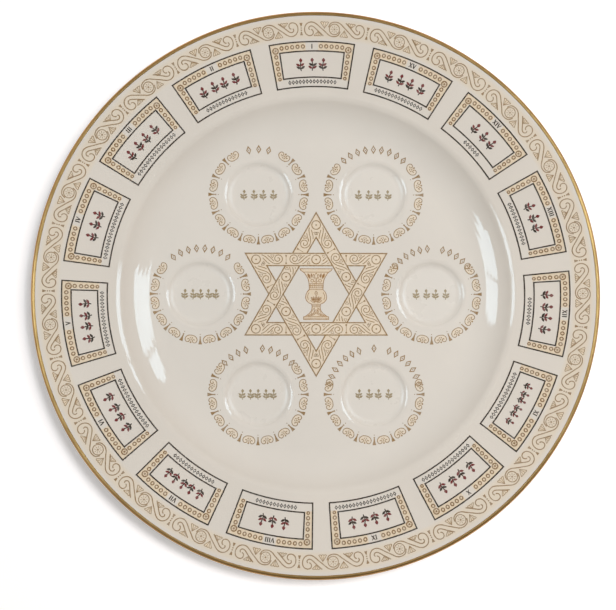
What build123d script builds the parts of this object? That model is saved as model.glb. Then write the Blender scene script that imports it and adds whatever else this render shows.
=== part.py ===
"""A seder plate: a round glazed dish with six moulded wells, a gilt edge and fired-on transfers.

The frame has +Z up, and its origin is the centre of the foot ring's rest plane. The first panel stands
at +Y. Lengths are millimetres. A clock angle is in degrees, clockwise from +Y as seen from above.
"""

import os
from math import acos, asin, atan2, cos, degrees, hypot, radians, sin, sqrt, tan

from build123d import *

# The fired body
PLATE_DIAMETER = 330.0
RIM_WIDTH = 47.2
RIM_SLOPE = 10.0
EDGE_THICKNESS = 3.6
SHOULDER_RADIUS = 9.0
COVE_RADIUS = 35.3
COVE_ANGLE = 41.0
BODY_THICKNESS = 6.0
FOOT_SET_OUT = 10.3
FOOT_WIDTH = 5.0
FOOT_HEIGHT = 3.0
FOOT_TOE_RADIUS = 0.8
FOOT_ROOT_RADIUS = 1.5
TOUCH = 0.01

# The six moulded wells
WELL_COUNT = 6
WELL_MARGIN = 0.3
WELL_DEPTH = 1.95
WELL_WALL_ANGLE = 32.0
WELL_LIP_RADIUS = 5.4
WELL_HEEL_RADIUS = 6.0
FIRST_WELL_CLOCK = 30.0

# The gilding and the transfers, which stand on the glaze
GILT_WIDTH = 2.2
GILT_WRAP_ANGLE = 35.0
GILT_THICKNESS = 0.30
GILT_SEAT = 0.10
PRINT_THICKNESS = 0.10
PRINT_SEAT = 0.05

# The scroll border
SCROLL_COUNT = 25
SCROLL_EDGE_MARGIN = 5.4
SCROLL_HEIGHT = 9.4
SCROLL_LINE = 0.9
SCROLL_VOLUTE_RADIUS = 3.6
SCROLL_VOLUTE_SPACING = 24.0
SCROLL_VOLUTE_SWEEP = 200.0
SCROLL_DART_HEIGHT = 3.4
SCROLL_DART_WIDTH = 1.4
FIRST_DART_CLOCK = 11.0

# The numbered panels
PANEL_COUNT = 15
PANEL_GAP = 2.2
PANEL_HEIGHT = 26.4
PANEL_WIDTH_ANGLE = 19.84
PANEL_TOP_BAND = 5.3
PANEL_SIDE_BAND = 4.95
PANEL_FOOT_BAND = 5.4
PANEL_LINE = 0.78
FIRST_PANEL_CLOCK = -1.15

# The wreath round each well
WREATH_CLEARANCE = 2.9
WREATH_WIDTH = 5.6
WREATH_SPACING = 8.8
WREATH_UNITS = 16
LEAF_SHARE = 0.70
LEAF_BULGE = 2.4
DART_FOOT_WIDTH = 1.4
TOP_GAP_UNITS = (4, 4, 6, 4, 4, 2)

# The interlaced star and the goblet inside it
STAR_RADIUS = 49.3
STAR_BAND = 8.05
STAR_LINE = 0.7
GOBLET_CLEARANCE = 1.1
GOBLET_LIP_CLEARANCE = 0.8
GOBLET_LIP_BAND = 1.8
GOBLET_BOWL_DEPTH = 11.4
GOBLET_WAIST_RADIUS = 4.0
GOBLET_KNOP_RADIUS = 6.1
GOBLET_KNOP_HEIGHT = 7.4
GOBLET_STEM_RADIUS = 2.5
GOBLET_FOOT_RADIUS = 7.4
GOBLET_FOOT_BAND = 1.6

# What follows from the sizes above
PLATE_RADIUS = PLATE_DIAMETER / 2
EDGE_RADIUS = EDGE_THICKNESS / 2
FLOOR_Z = FOOT_HEIGHT + BODY_THICKNESS
RIM_INNER_RADIUS = PLATE_RADIUS - RIM_WIDTH
SCROLL_OUTER_RADIUS = PLATE_RADIUS - SCROLL_EDGE_MARGIN
SCROLL_RADIUS = SCROLL_OUTER_RADIUS - SCROLL_HEIGHT / 2
PANEL_OUTER_RADIUS = SCROLL_OUTER_RADIUS - SCROLL_HEIGHT - PANEL_GAP
PANEL_INNER_RADIUS = PANEL_OUTER_RADIUS - PANEL_HEIGHT
STAR_OUTER_INRADIUS = STAR_RADIUS / 2
STAR_INNER_INRADIUS = STAR_OUTER_INRADIUS - STAR_BAND
GOBLET_HEIGHT = 2 * (STAR_INNER_INRADIUS - GOBLET_CLEARANCE)
GOBLET_LIP_RADIUS = (STAR_INNER_INRADIUS + GOBLET_CLEARANCE) / sqrt(3) - GOBLET_LIP_CLEARANCE


def slope_up(angle):
    """The upward normal of a surface that climbs outward at this angle, as (r, z)."""
    return Vector(-sin(radians(angle)), cos(radians(angle)))


# The cove turns about one centre and the shoulder about another, inside and out
SHOULDER_SPAN = SHOULDER_RADIUS * (sin(radians(COVE_ANGLE)) - sin(radians(RIM_SLOPE)))
FLOOR_RADIUS = RIM_INNER_RADIUS - SHOULDER_SPAN - COVE_RADIUS * sin(radians(COVE_ANGLE))
FOOT_OUTER_RADIUS = FLOOR_RADIUS + FOOT_SET_OUT
FOOT_INNER_RADIUS = FOOT_OUTER_RADIUS - FOOT_WIDTH
COVE_CENTRE = Vector(FLOOR_RADIUS, FLOOR_Z + COVE_RADIUS)
SHOULDER_CENTRE = COVE_CENTRE - slope_up(COVE_ANGLE) * (COVE_RADIUS + SHOULDER_RADIUS)
RIM_START = SHOULDER_CENTRE + slope_up(RIM_SLOPE) * SHOULDER_RADIUS
EDGE_START_RADIUS = PLATE_RADIUS - EDGE_RADIUS * (1 + sin(radians(RIM_SLOPE)))
RIM_RUN = EDGE_START_RADIUS - RIM_START.X
RIM_END = RIM_START + Vector(RIM_RUN, RIM_RUN * tan(radians(RIM_SLOPE)))
EDGE_CENTRE = RIM_END - slope_up(RIM_SLOPE) * EDGE_RADIUS
RIM_TOP_Z = EDGE_CENTRE.Y + EDGE_RADIUS
FILM_CEILING = RIM_TOP_Z + BODY_THICKNESS

# The wells fill the floor: their wreaths stand WREATH_SPACING apart, and their mouths WELL_MARGIN from the cove
WELL_CHORD = 2 * sin(radians(180 / WELL_COUNT))
WREATH_REACH = WREATH_CLEARANCE + WREATH_WIDTH + WREATH_SPACING / 2
WELL_MOUTH_RADIUS = (WELL_CHORD * (FLOOR_RADIUS - WELL_MARGIN) - 2 * WREATH_REACH) / (WELL_CHORD + 2)
WELL_PITCH_RADIUS = FLOOR_RADIUS - WELL_MARGIN - WELL_MOUTH_RADIUS
WREATH_INNER_RADIUS = WELL_MOUTH_RADIUS + WREATH_CLEARANCE
WREATH_OUTER_RADIUS = WREATH_INNER_RADIUS + WREATH_WIDTH


def on_clock(radius, clock):
    """The plan point at this radius and clock angle."""
    return (radius * sin(radians(clock)), radius * cos(radians(clock)))


def top_path(lift):
    """The face's section from the axis to the edge's round, raised by lift along its own normal."""
    rim_normal = slope_up(RIM_SLOPE)
    shoulder = SHOULDER_RADIUS + lift
    cove = COVE_RADIUS - lift
    floor_end = (FLOOR_RADIUS, FLOOR_Z + lift)
    return [
        Line((0, FLOOR_Z + lift), floor_end),
        CenterArc(tuple(COVE_CENTRE), cove, -90, COVE_ANGLE),
        CenterArc(tuple(SHOULDER_CENTRE), shoulder, 90 + COVE_ANGLE, RIM_SLOPE - COVE_ANGLE),
        Line(tuple(RIM_START + rim_normal * lift), tuple(RIM_END + rim_normal * lift)),
    ]


def under_slope():
    """The angle of the rim's underside, which touches the edge's round and the inner shoulder."""
    across = EDGE_CENTRE - SHOULDER_CENTRE
    reach = EDGE_RADIUS + SHOULDER_RADIUS - BODY_THICKNESS
    return degrees(atan2(across.Y, across.X) + acos(reach / hypot(across.X, across.Y))) - 90


def body_section():
    """The half section of the fired body, foot ring included, with r along x and z along y."""
    tilt = under_slope()
    under_normal = slope_up(tilt)
    inner_shoulder = SHOULDER_RADIUS - BODY_THICKNESS
    outer_cove = COVE_RADIUS + BODY_THICKNESS
    edge_turn = -(180 + RIM_SLOPE - tilt)
    under_edge = EDGE_CENTRE - under_normal * EDGE_RADIUS
    under_shoulder = SHOULDER_CENTRE + under_normal * inner_shoulder
    outline = top_path(0) + [
        CenterArc(tuple(EDGE_CENTRE), EDGE_RADIUS, 90 + RIM_SLOPE, edge_turn),
        Line(tuple(under_edge), tuple(under_shoulder)),
        CenterArc(tuple(SHOULDER_CENTRE), inner_shoulder, 90 + tilt, COVE_ANGLE - tilt),
        CenterArc(tuple(COVE_CENTRE), outer_cove, COVE_ANGLE - 90, -COVE_ANGLE),
        Line((FLOOR_RADIUS, FOOT_HEIGHT), (0, FOOT_HEIGHT)),
        Line((0, FOOT_HEIGHT), (0, FLOOR_Z)),
    ]
    foot_top = COVE_CENTRE.Y - sqrt(outer_cove**2 - FOOT_SET_OUT**2) + BODY_THICKNESS / 2
    foot = Pos(FOOT_INNER_RADIUS, 0) * Rectangle(FOOT_WIDTH, foot_top, align=(Align.MIN, Align.MIN))
    section = make_face(outline) + foot
    walls = (FOOT_INNER_RADIUS, FOOT_OUTER_RADIUS)
    in_foot = [v for v in section.vertices() if min(abs(v.X - wall) for wall in walls) < TOUCH and v.Y < foot_top]
    section = fillet([v for v in in_foot if v.Y > TOUCH], FOOT_ROOT_RADIUS)
    return fillet([v for v in section.vertices() if v.Y < TOUCH], FOOT_TOE_RADIUS)


def turned(section):
    """A half section turned about +Z into a solid."""
    return revolve(Plane.XZ * section, Axis.Z)


def well_cutter():
    """What a well takes out of the floor, turned about the well's own axis."""
    floor_z = FLOOR_Z - WELL_DEPTH
    lip = Vector(WELL_MOUTH_RADIUS, FLOOR_Z - WELL_LIP_RADIUS)
    wall_normal = Vector(-sin(radians(WELL_WALL_ANGLE)), cos(radians(WELL_WALL_ANGLE)))
    wall_top = lip + wall_normal * WELL_LIP_RADIUS
    heel_z = floor_z + WELL_HEEL_RADIUS
    drop = wall_top.Y - (heel_z - WELL_HEEL_RADIUS * cos(radians(WELL_WALL_ANGLE)))
    run = drop * cos(radians(WELL_WALL_ANGLE)) / sin(radians(WELL_WALL_ANGLE))
    wall_foot = Vector(wall_top.X - run, wall_top.Y - drop)
    heel = wall_foot + wall_normal * WELL_HEEL_RADIUS
    outline = [
        Line((0, floor_z), (heel.X, floor_z)),
        CenterArc(tuple(heel), WELL_HEEL_RADIUS, -90, WELL_WALL_ANGLE),
        Line(tuple(wall_foot), tuple(wall_top)),
        CenterArc(tuple(lip), WELL_LIP_RADIUS, 90 + WELL_WALL_ANGLE, -WELL_WALL_ANGLE),
        Line((WELL_MOUTH_RADIUS, FLOOR_Z), (WELL_MOUTH_RADIUS, RIM_TOP_Z)),
        Line((WELL_MOUTH_RADIUS, RIM_TOP_Z), (0, RIM_TOP_Z)),
        Line((0, RIM_TOP_Z), (0, floor_z)),
    ]
    return turned(make_face(outline))


def well_clock(index):
    """The clock angle of a well, counted clockwise from the one right of the top."""
    return FIRST_WELL_CLOCK + index * 360 / WELL_COUNT


def make_plate_body():
    """The fired dish: floor, cove, shoulder, sloping rim and foot ring, with the wells sunk in it."""
    cutter = well_cutter()
    body = turned(body_section())
    for index in range(WELL_COUNT):
        body -= Pos(*on_clock(WELL_PITCH_RADIUS, well_clock(index))) * cutter
    return body


def make_gilt_rim_line():
    """The gold line, which starts on the face of the rim and wraps over the rounded edge."""
    rim_normal = slope_up(RIM_SLOPE)
    along = (RIM_END - RIM_START).normalized()
    start = RIM_END - along * (GILT_WIDTH - (PLATE_RADIUS - RIM_END.X))
    wrap = -(90 + RIM_SLOPE + GILT_WRAP_ANGLE)
    last = Vector(cos(radians(GILT_WRAP_ANGLE)), -sin(radians(GILT_WRAP_ANGLE)))
    lifts = (GILT_SEAT, GILT_SEAT + GILT_THICKNESS)
    outline = [Line(*[tuple(start + rim_normal * lift) for lift in lifts])]
    outline += [Line(*[tuple(EDGE_CENTRE + last * (EDGE_RADIUS + lift)) for lift in lifts])]
    for lift in lifts:
        outline.append(Line(tuple(start + rim_normal * lift), tuple(RIM_END + rim_normal * lift)))
        outline.append(CenterArc(tuple(EDGE_CENTRE), EDGE_RADIUS + lift, 90 + RIM_SLOPE, wrap))
    return turned(make_face(outline))


def print_film():
    """One even layer over the whole face, which every transfer is cut from, so each lies on the glaze."""
    rim_normal = slope_up(RIM_SLOPE)
    lifts = (PRINT_SEAT, PRINT_SEAT + PRINT_THICKNESS)
    outline = [
        Line(*[tuple(RIM_END + rim_normal * lift) for lift in lifts]),
        Line(*[(0, FLOOR_Z + lift) for lift in lifts]),
    ]
    for lift in lifts:
        outline += top_path(lift)
    return turned(make_face(outline))


def laid(art, film):
    """Plan artwork as a fired layer on the face of the plate."""
    return film & extrude(art, FILM_CEILING)


def closed(points):
    """A flat face inside straight sides."""
    return make_face(Polyline(*points, close=True))


def ring_sector(outer, inner, half_angle, inset=0.0):
    """The plan of a ring's sector that is centred on +Y, with every side moved inward by inset."""
    corners = []
    arcs = []
    for radius in (outer - inset, inner + inset):
        turn = half_angle - degrees(asin(inset / radius))
        corners.append([on_clock(radius, -turn), on_clock(radius, turn)])
        arcs.append(CenterArc((0, 0), radius, 90 - turn, 2 * turn))
    sides = [Line(top, foot) for top, foot in zip(*corners)]
    return make_face(sides + arcs)


def line_frame(outer, inner, half_angle, line):
    """A sector's outline, drawn with a line of even width."""
    return ring_sector(outer, inner, half_angle) - ring_sector(outer, inner, half_angle, line)


def make_panel_frame(film):
    """The two line frames of a numbered panel: the outer one, and the one round its picture field."""
    half = PANEL_WIDTH_ANGLE / 2
    outer = line_frame(PANEL_OUTER_RADIUS, PANEL_INNER_RADIUS, half, PANEL_LINE)
    field_top = PANEL_OUTER_RADIUS - PANEL_TOP_BAND
    field_foot = PANEL_INNER_RADIUS + PANEL_FOOT_BAND
    field_half = half - degrees(PANEL_SIDE_BAND / ((field_top + field_foot) / 2))
    field = line_frame(field_top, field_foot, field_half, PANEL_LINE)
    return laid(outer, film) + laid(field, film)


def polar_from(centre, radius, angle):
    """The point at this radius and angle, anticlockwise from +X, about a centre."""
    return (centre[0] + radius * cos(radians(angle)), centre[1] + radius * sin(radians(angle)))


def scroll_stem():
    """The stem of one repeat: out of one volute, across on the common tangent and into the other."""
    lean = degrees(SCROLL_VOLUTE_SPACING / 2 / SCROLL_RADIUS)
    left, right = on_clock(SCROLL_RADIUS, -lean), on_clock(SCROLL_RADIUS, lean)
    leave = degrees(acos(2 * SCROLL_VOLUTE_RADIUS / (right[0] - left[0])))
    tangent = Line(
        polar_from(left, SCROLL_VOLUTE_RADIUS, leave),
        polar_from(right, SCROLL_VOLUTE_RADIUS, leave + 180),
    )
    curls = [
        CenterArc(left, SCROLL_VOLUTE_RADIUS, leave, SCROLL_VOLUTE_SWEEP),
        CenterArc(right, SCROLL_VOLUTE_RADIUS, leave + 180, SCROLL_VOLUTE_SWEEP),
    ]
    return trace([tangent] + curls, SCROLL_LINE)


def make_scroll_unit(film):
    """One repeat of the border: its stem, and the pair of darts that parts it from the next."""
    half = SCROLL_DART_WIDTH / 2
    foot = SCROLL_HEIGHT / 2
    dart = closed([(-half, foot), (half, foot), (0, foot - SCROLL_DART_HEIGHT)])
    place = Rot(0, 0, 180 / SCROLL_COUNT) * Pos(0, SCROLL_RADIUS)
    return laid(scroll_stem() + place * dart + place * Rot(0, 0, 180) * dart, film)


def make_scroll_border(film):
    """Every repeat of the border, turned round the rim."""
    unit = make_scroll_unit(film)
    step = 360 / SCROLL_COUNT
    turns = [FIRST_DART_CLOCK + (k + 0.5) * step for k in range(SCROLL_COUNT)]
    return Compound(children=[Rot(0, 0, -turn) * solid for turn in turns for solid in unit.solids()])


def make_wreath(index, film):
    """The leaves and darts round a well, which leave a gap of whole units at the top."""
    step = 360 / WREATH_UNITS
    spine = (WREATH_INNER_RADIUS + WREATH_OUTER_RADIUS) / 2
    half = LEAF_SHARE * step / 2
    art = Sketch()
    gap = TOP_GAP_UNITS[index]
    for unit in range(WREATH_UNITS - gap):
        clock = (unit + gap / 2 + 0.5) * step
        ends = [on_clock(spine, clock - half), on_clock(spine, clock + half)]
        inward = on_clock(spine - LEAF_BULGE, clock)
        outward = on_clock(spine + LEAF_BULGE, clock)
        art += make_face([ThreePointArc(ends[0], middle, ends[1]) for middle in (inward, outward)])
    for joint in range(1, WREATH_UNITS - gap):
        clock = (joint + gap / 2) * step
        lean = degrees(DART_FOOT_WIDTH / 2 / WREATH_OUTER_RADIUS)
        foot = [on_clock(WREATH_OUTER_RADIUS, clock - lean), on_clock(WREATH_OUTER_RADIUS, clock + lean)]
        art += closed(foot + [on_clock(WREATH_INNER_RADIUS, clock)])
    return laid(Pos(*on_clock(WELL_PITCH_RADIUS, well_clock(index))) * art, film)


def triangle(inradius, first_clock):
    """An equilateral triangle about the origin, with its first corner at a clock angle."""
    return closed([on_clock(2 * inradius, first_clock + turn) for turn in (0, 120, 240)])


def band_piece(normal_clock, inner, outer):
    """A straight band across the star, whose sides lie square to a clock angle."""
    plank = Pos(0, inner) * Rectangle(2 * STAR_RADIUS, outer - inner, align=(Align.CENTER, Align.MIN))
    return Rot(0, 0, -normal_clock) * plank


def make_star_triangle(first_clock, first_over, film):
    """One of the star's two triangles as a pair of lines, cut where the other triangle passes over."""
    outer = STAR_OUTER_INRADIUS
    inner = STAR_INNER_INRADIUS
    art = triangle(outer, first_clock) - triangle(outer - STAR_LINE, first_clock)
    art += triangle(inner + STAR_LINE, first_clock) - triangle(inner, first_clock)
    for crossing in range(6):
        if (crossing % 2 == 0) == first_over:
            continue
        clock = 30 + 60 * crossing
        art -= band_piece(clock - 30, inner, outer) & band_piece(clock + 30, inner, outer)
    return laid(art, film)


def make_goblet(film):
    """The goblet's silhouette: flared lip, bowl, knop, stem and spreading foot."""
    top = GOBLET_HEIGHT / 2
    lip_z = top - GOBLET_LIP_BAND
    waist_z = lip_z - GOBLET_BOWL_DEPTH
    stem_z = waist_z - GOBLET_KNOP_HEIGHT
    foot_z = GOBLET_FOOT_BAND - top
    lip = (GOBLET_LIP_RADIUS, lip_z)
    waist = (GOBLET_WAIST_RADIUS, waist_z)
    knop = (GOBLET_KNOP_RADIUS, (waist_z + stem_z) / 2)
    stem = (GOBLET_STEM_RADIUS, stem_z)
    foot = (GOBLET_FOOT_RADIUS, foot_z)
    down = (0, -1)
    right = [
        Polyline((0, top), (GOBLET_LIP_RADIUS, top), lip),
        Spline(lip, waist, tangents=((-1, -1), down)),
        ThreePointArc(waist, knop, stem),
        Spline(stem, foot, tangents=(down, (1, -1))),
        Polyline(foot, (GOBLET_FOOT_RADIUS, -top), (0, -top), (0, top)),
    ]
    half = make_face(right)
    return laid(half + mirror(half, Plane.YZ), film)


def save(node, shape):
    """Writes one node, as however many solids its shape holds."""
    export_step(Compound(children=list(shape.solids())), f"parts/{node}.step")


def main():
    """Builds every node and writes it to parts/."""
    os.makedirs("parts", exist_ok=True)
    film = print_film()
    save("plate_body", make_plate_body())
    save("gilt_rim_line", make_gilt_rim_line())
    save("scroll_border", make_scroll_border(film))
    panel = make_panel_frame(film)
    for k in range(PANEL_COUNT):
        save(f"panel_frame_{k + 1:02d}", Rot(0, 0, k * 360 / PANEL_COUNT - FIRST_PANEL_CLOCK) * panel)
    for k in range(WELL_COUNT):
        save(f"well_wreath_{k + 1}", make_wreath(k, film))
    save("star_triangle_up", make_star_triangle(0, True, film))
    save("star_triangle_down", make_star_triangle(60, False, film))
    save("goblet_emblem", make_goblet(film))


main()
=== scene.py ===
"""Looks of a seder plate: cream glaze, a gilt edge and fired-on prints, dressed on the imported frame.

Sizes are millimetres in the plate's own frame, and become metres where a mesh is made. A clock angle is in
degrees, clockwise from +Y as seen from above. A print is drawn in plan and draped on the plate's face.
"""

import logging
import math
from dataclasses import dataclass, field
from enum import Enum
from functools import cached_property
from typing import Callable, Dict, List, Optional, Sequence, Tuple

import bpy
from mathutils import Matrix, Vector
from mathutils.geometry import delaunay_2d_cdt


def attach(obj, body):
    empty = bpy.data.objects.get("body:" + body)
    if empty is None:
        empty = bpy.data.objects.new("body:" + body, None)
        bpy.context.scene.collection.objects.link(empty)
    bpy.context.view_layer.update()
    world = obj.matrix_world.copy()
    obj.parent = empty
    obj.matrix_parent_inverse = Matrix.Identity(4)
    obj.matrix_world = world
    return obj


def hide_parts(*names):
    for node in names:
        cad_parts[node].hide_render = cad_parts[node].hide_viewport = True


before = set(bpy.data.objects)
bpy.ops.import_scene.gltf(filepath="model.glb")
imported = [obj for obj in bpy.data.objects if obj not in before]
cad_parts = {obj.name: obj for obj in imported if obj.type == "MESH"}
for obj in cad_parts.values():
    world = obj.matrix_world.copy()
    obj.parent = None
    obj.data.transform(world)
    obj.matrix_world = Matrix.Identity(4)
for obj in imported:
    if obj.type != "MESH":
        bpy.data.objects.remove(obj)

LOG = logging.getLogger("seder_plate")
MM = 0.001

Point = Tuple[float, float]
Path = List[Point]
Vertex = Tuple[float, float, float]
Face = Tuple[int, ...]
Colour = Tuple[float, float, float]
Keep = Callable[[Point], bool]
Piece = bpy.types.Object
Socket = bpy.types.NodeSocket
Tree = bpy.types.NodeTree
Values = Dict[str, object]

CENTRE: Point = (0.0, 0.0)


class Slot(Enum):
    """The record's material slots."""

    GLAZE = "glaze"
    GILDING = "gilding"
    GOLD_PRINT = "gold_print"
    DARK_PRINT = "dark_print"


# Plane geometry


def on_clock(radius: float, clock: float) -> Point:
    """The plan point at a radius and a clock angle."""
    return (radius * math.sin(math.radians(clock)), radius * math.cos(math.radians(clock)))


def arc(centre: Sequence[float], radius: float, start: float, sweep: float, steps: int) -> Path:
    """Points along an arc.

    Args:
        centre: The arc's centre.
        radius: Its radius.
        start: The first point's angle in degrees, anticlockwise from the first axis.
        sweep: How far the arc turns, in degrees.
        steps: How many spans it is divided into.

    Returns:
        The points, both ends included.
    """
    angles = [math.radians(start + sweep * k / steps) for k in range(steps + 1)]
    return [(centre[0] + radius * math.cos(a), centre[1] + radius * math.sin(a)) for a in angles]


def circle(centre: Point, radius: float, steps: int) -> Path:
    """Points round a circle, each of them once."""
    return arc(centre, radius, 0, 360, steps)[:-1]


def smooth(points: Sequence[Point], steps: int) -> Path:
    """A smooth line through points.

    Args:
        points: The points that the line goes through.
        steps: Spans between neighbouring points.

    Returns:
        Points along the line.
    """
    (x0, y0), (x1, y1) = points[:2]
    (x2, y2), (x3, y3) = points[-2:]
    padded = [(2 * x0 - x1, 2 * y0 - y1), *points, (2 * x3 - x2, 2 * y3 - y2)]
    line: Path = []
    for corners in zip(padded, padded[1:], padded[2:], padded[3:]):
        for t in (step / steps for step in range(steps)):
            weights = (
                (-t + 2 * t**2 - t**3) / 2,
                (2 - 5 * t**2 + 3 * t**3) / 2,
                (t + 4 * t**2 - 3 * t**3) / 2,
                (t**3 - t**2) / 2,
            )
            line.append(tuple(sum(w * c[axis] for w, c in zip(weights, corners)) for axis in (0, 1)))
    return line + [points[-1]]


def neighbours(loop: Sequence) -> List[Tuple]:
    """Each item of a closed loop with the one after it."""
    return list(zip(loop, [*loop[1:], loop[0]]))


def half_turned(points: Sequence[Point]) -> Path:
    """The same points after half a turn about the origin."""
    return [(-x, -y) for x, y in points]


def mirrored(points: Sequence[Point]) -> Path:
    """The same points mirrored left to right."""
    return [(-x, y) for x, y in points]


def flipped(points: Sequence[Point]) -> Path:
    """The same points mirrored top to bottom."""
    return [(x, -y) for x, y in points]


def leaf(foot: Point, tip: Point, width: float, steps: int = 16) -> Path:
    """A pointed leaf's outline.

    Args:
        foot: Where the leaf starts.
        tip: Where it ends.
        width: Its greatest width.
        steps: Spans in the outline.

    Returns:
        The closed outline's points.
    """
    run, rise = tip[0] - foot[0], tip[1] - foot[1]
    length = math.hypot(run, rise)
    side = (-rise / length, run / length)
    outline = []
    for turn in (k / steps for k in range(steps)):
        along = 1 - abs(1 - 2 * turn)
        bulge = width / 2 * math.sin(math.pi * along) * (1 if turn < 0.5 else -1)
        outline.append((foot[0] + run * along + side[0] * bulge, foot[1] + rise * along + side[1] * bulge))
    return outline


def fan(apex: Point, edge: float, half: float, lobes: int = 3, steps: int = 4, swell: float = 0.45) -> Path:
    """A fan's outline, with a lobed far edge.

    Args:
        apex: The fan's apex.
        edge: The y of its far edge.
        half: Half the far edge's length.
        lobes: How many lobes the far edge has.
        steps: Spans in each lobe.
        swell: How far a lobe swells, as a share of half the edge for each lobe.

    Returns:
        The closed outline's points.
    """
    bulge = math.copysign(swell * half / lobes, edge - apex[1])
    outline = [apex]
    for k in range(steps * lobes + 1):
        rise = bulge * math.sin(math.pi * (k % steps) / steps)
        outline.append((apex[0] - half + 2 * half * k / (steps * lobes), edge + rise))
    return outline


def lozenge(half_wide: float, half_tall: float) -> Path:
    """An upright lozenge's outline."""
    return [(0.0, half_tall), (-half_wide, 0.0), (0.0, -half_tall), (half_wide, 0.0)]


def spread(count: int, pitch: float) -> List[float]:
    """Even places about zero."""
    return [(k - (count - 1) / 2) * pitch for k in range(count)]


def rounded(corners: Sequence[Tuple[float, float, float]], steps: int = 6) -> Path:
    """A path with rounded corners.

    Args:
        corners: Each corner as x, y and its radius; a radius of zero leaves it sharp.
        steps: Spans in each rounding.

    Returns:
        Points along the path.
    """
    path: Path = []
    for k, (x, y, radius) in enumerate(corners):
        if radius == 0:
            path.append((x, y))
            continue
        here = Vector((x, y))
        back = (Vector(corners[k - 1][:2]) - here).normalized()
        onward = (Vector(corners[k + 1][:2]) - here).normalized()
        half = back.angle(onward) / 2
        centre = here + (back + onward).normalized() * (radius / math.sin(half))
        reach = radius / math.tan(half)
        first, last = here + back * reach - centre, here + onward * reach - centre
        turn = first.angle_signed(last)
        for angle in (-turn * step / steps for step in range(steps + 1)):
            c, s = math.cos(angle), math.sin(angle)
            path.append((centre.x + first.x * c - first.y * s, centre.y + first.x * s + first.y * c))
    return path


def tube(base: int, stations: int, loop: int, closed: bool) -> List[Face]:
    """The faces of a tube whose vertices follow one another, station by station.

    Args:
        base: The index of its first vertex.
        stations: How many stations it has.
        loop: How many vertices go round each station.
        closed: Whether the last station joins the first; the ends of an open tube are capped.

    Returns:
        The faces.
    """
    faces: List[Face] = []
    rings = [base + loop * k for k in range(stations)]
    joints = neighbours(rings)
    for here, there in joints if closed else joints[:-1]:
        for edge, follow in neighbours(range(loop)):
            faces.append((here + edge, here + follow, there + follow, there + edge))
    if not closed:
        last = rings[-1]
        faces += [tuple(reversed(range(base, base + loop))), tuple(range(last, last + loop))]
    return faces


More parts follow.
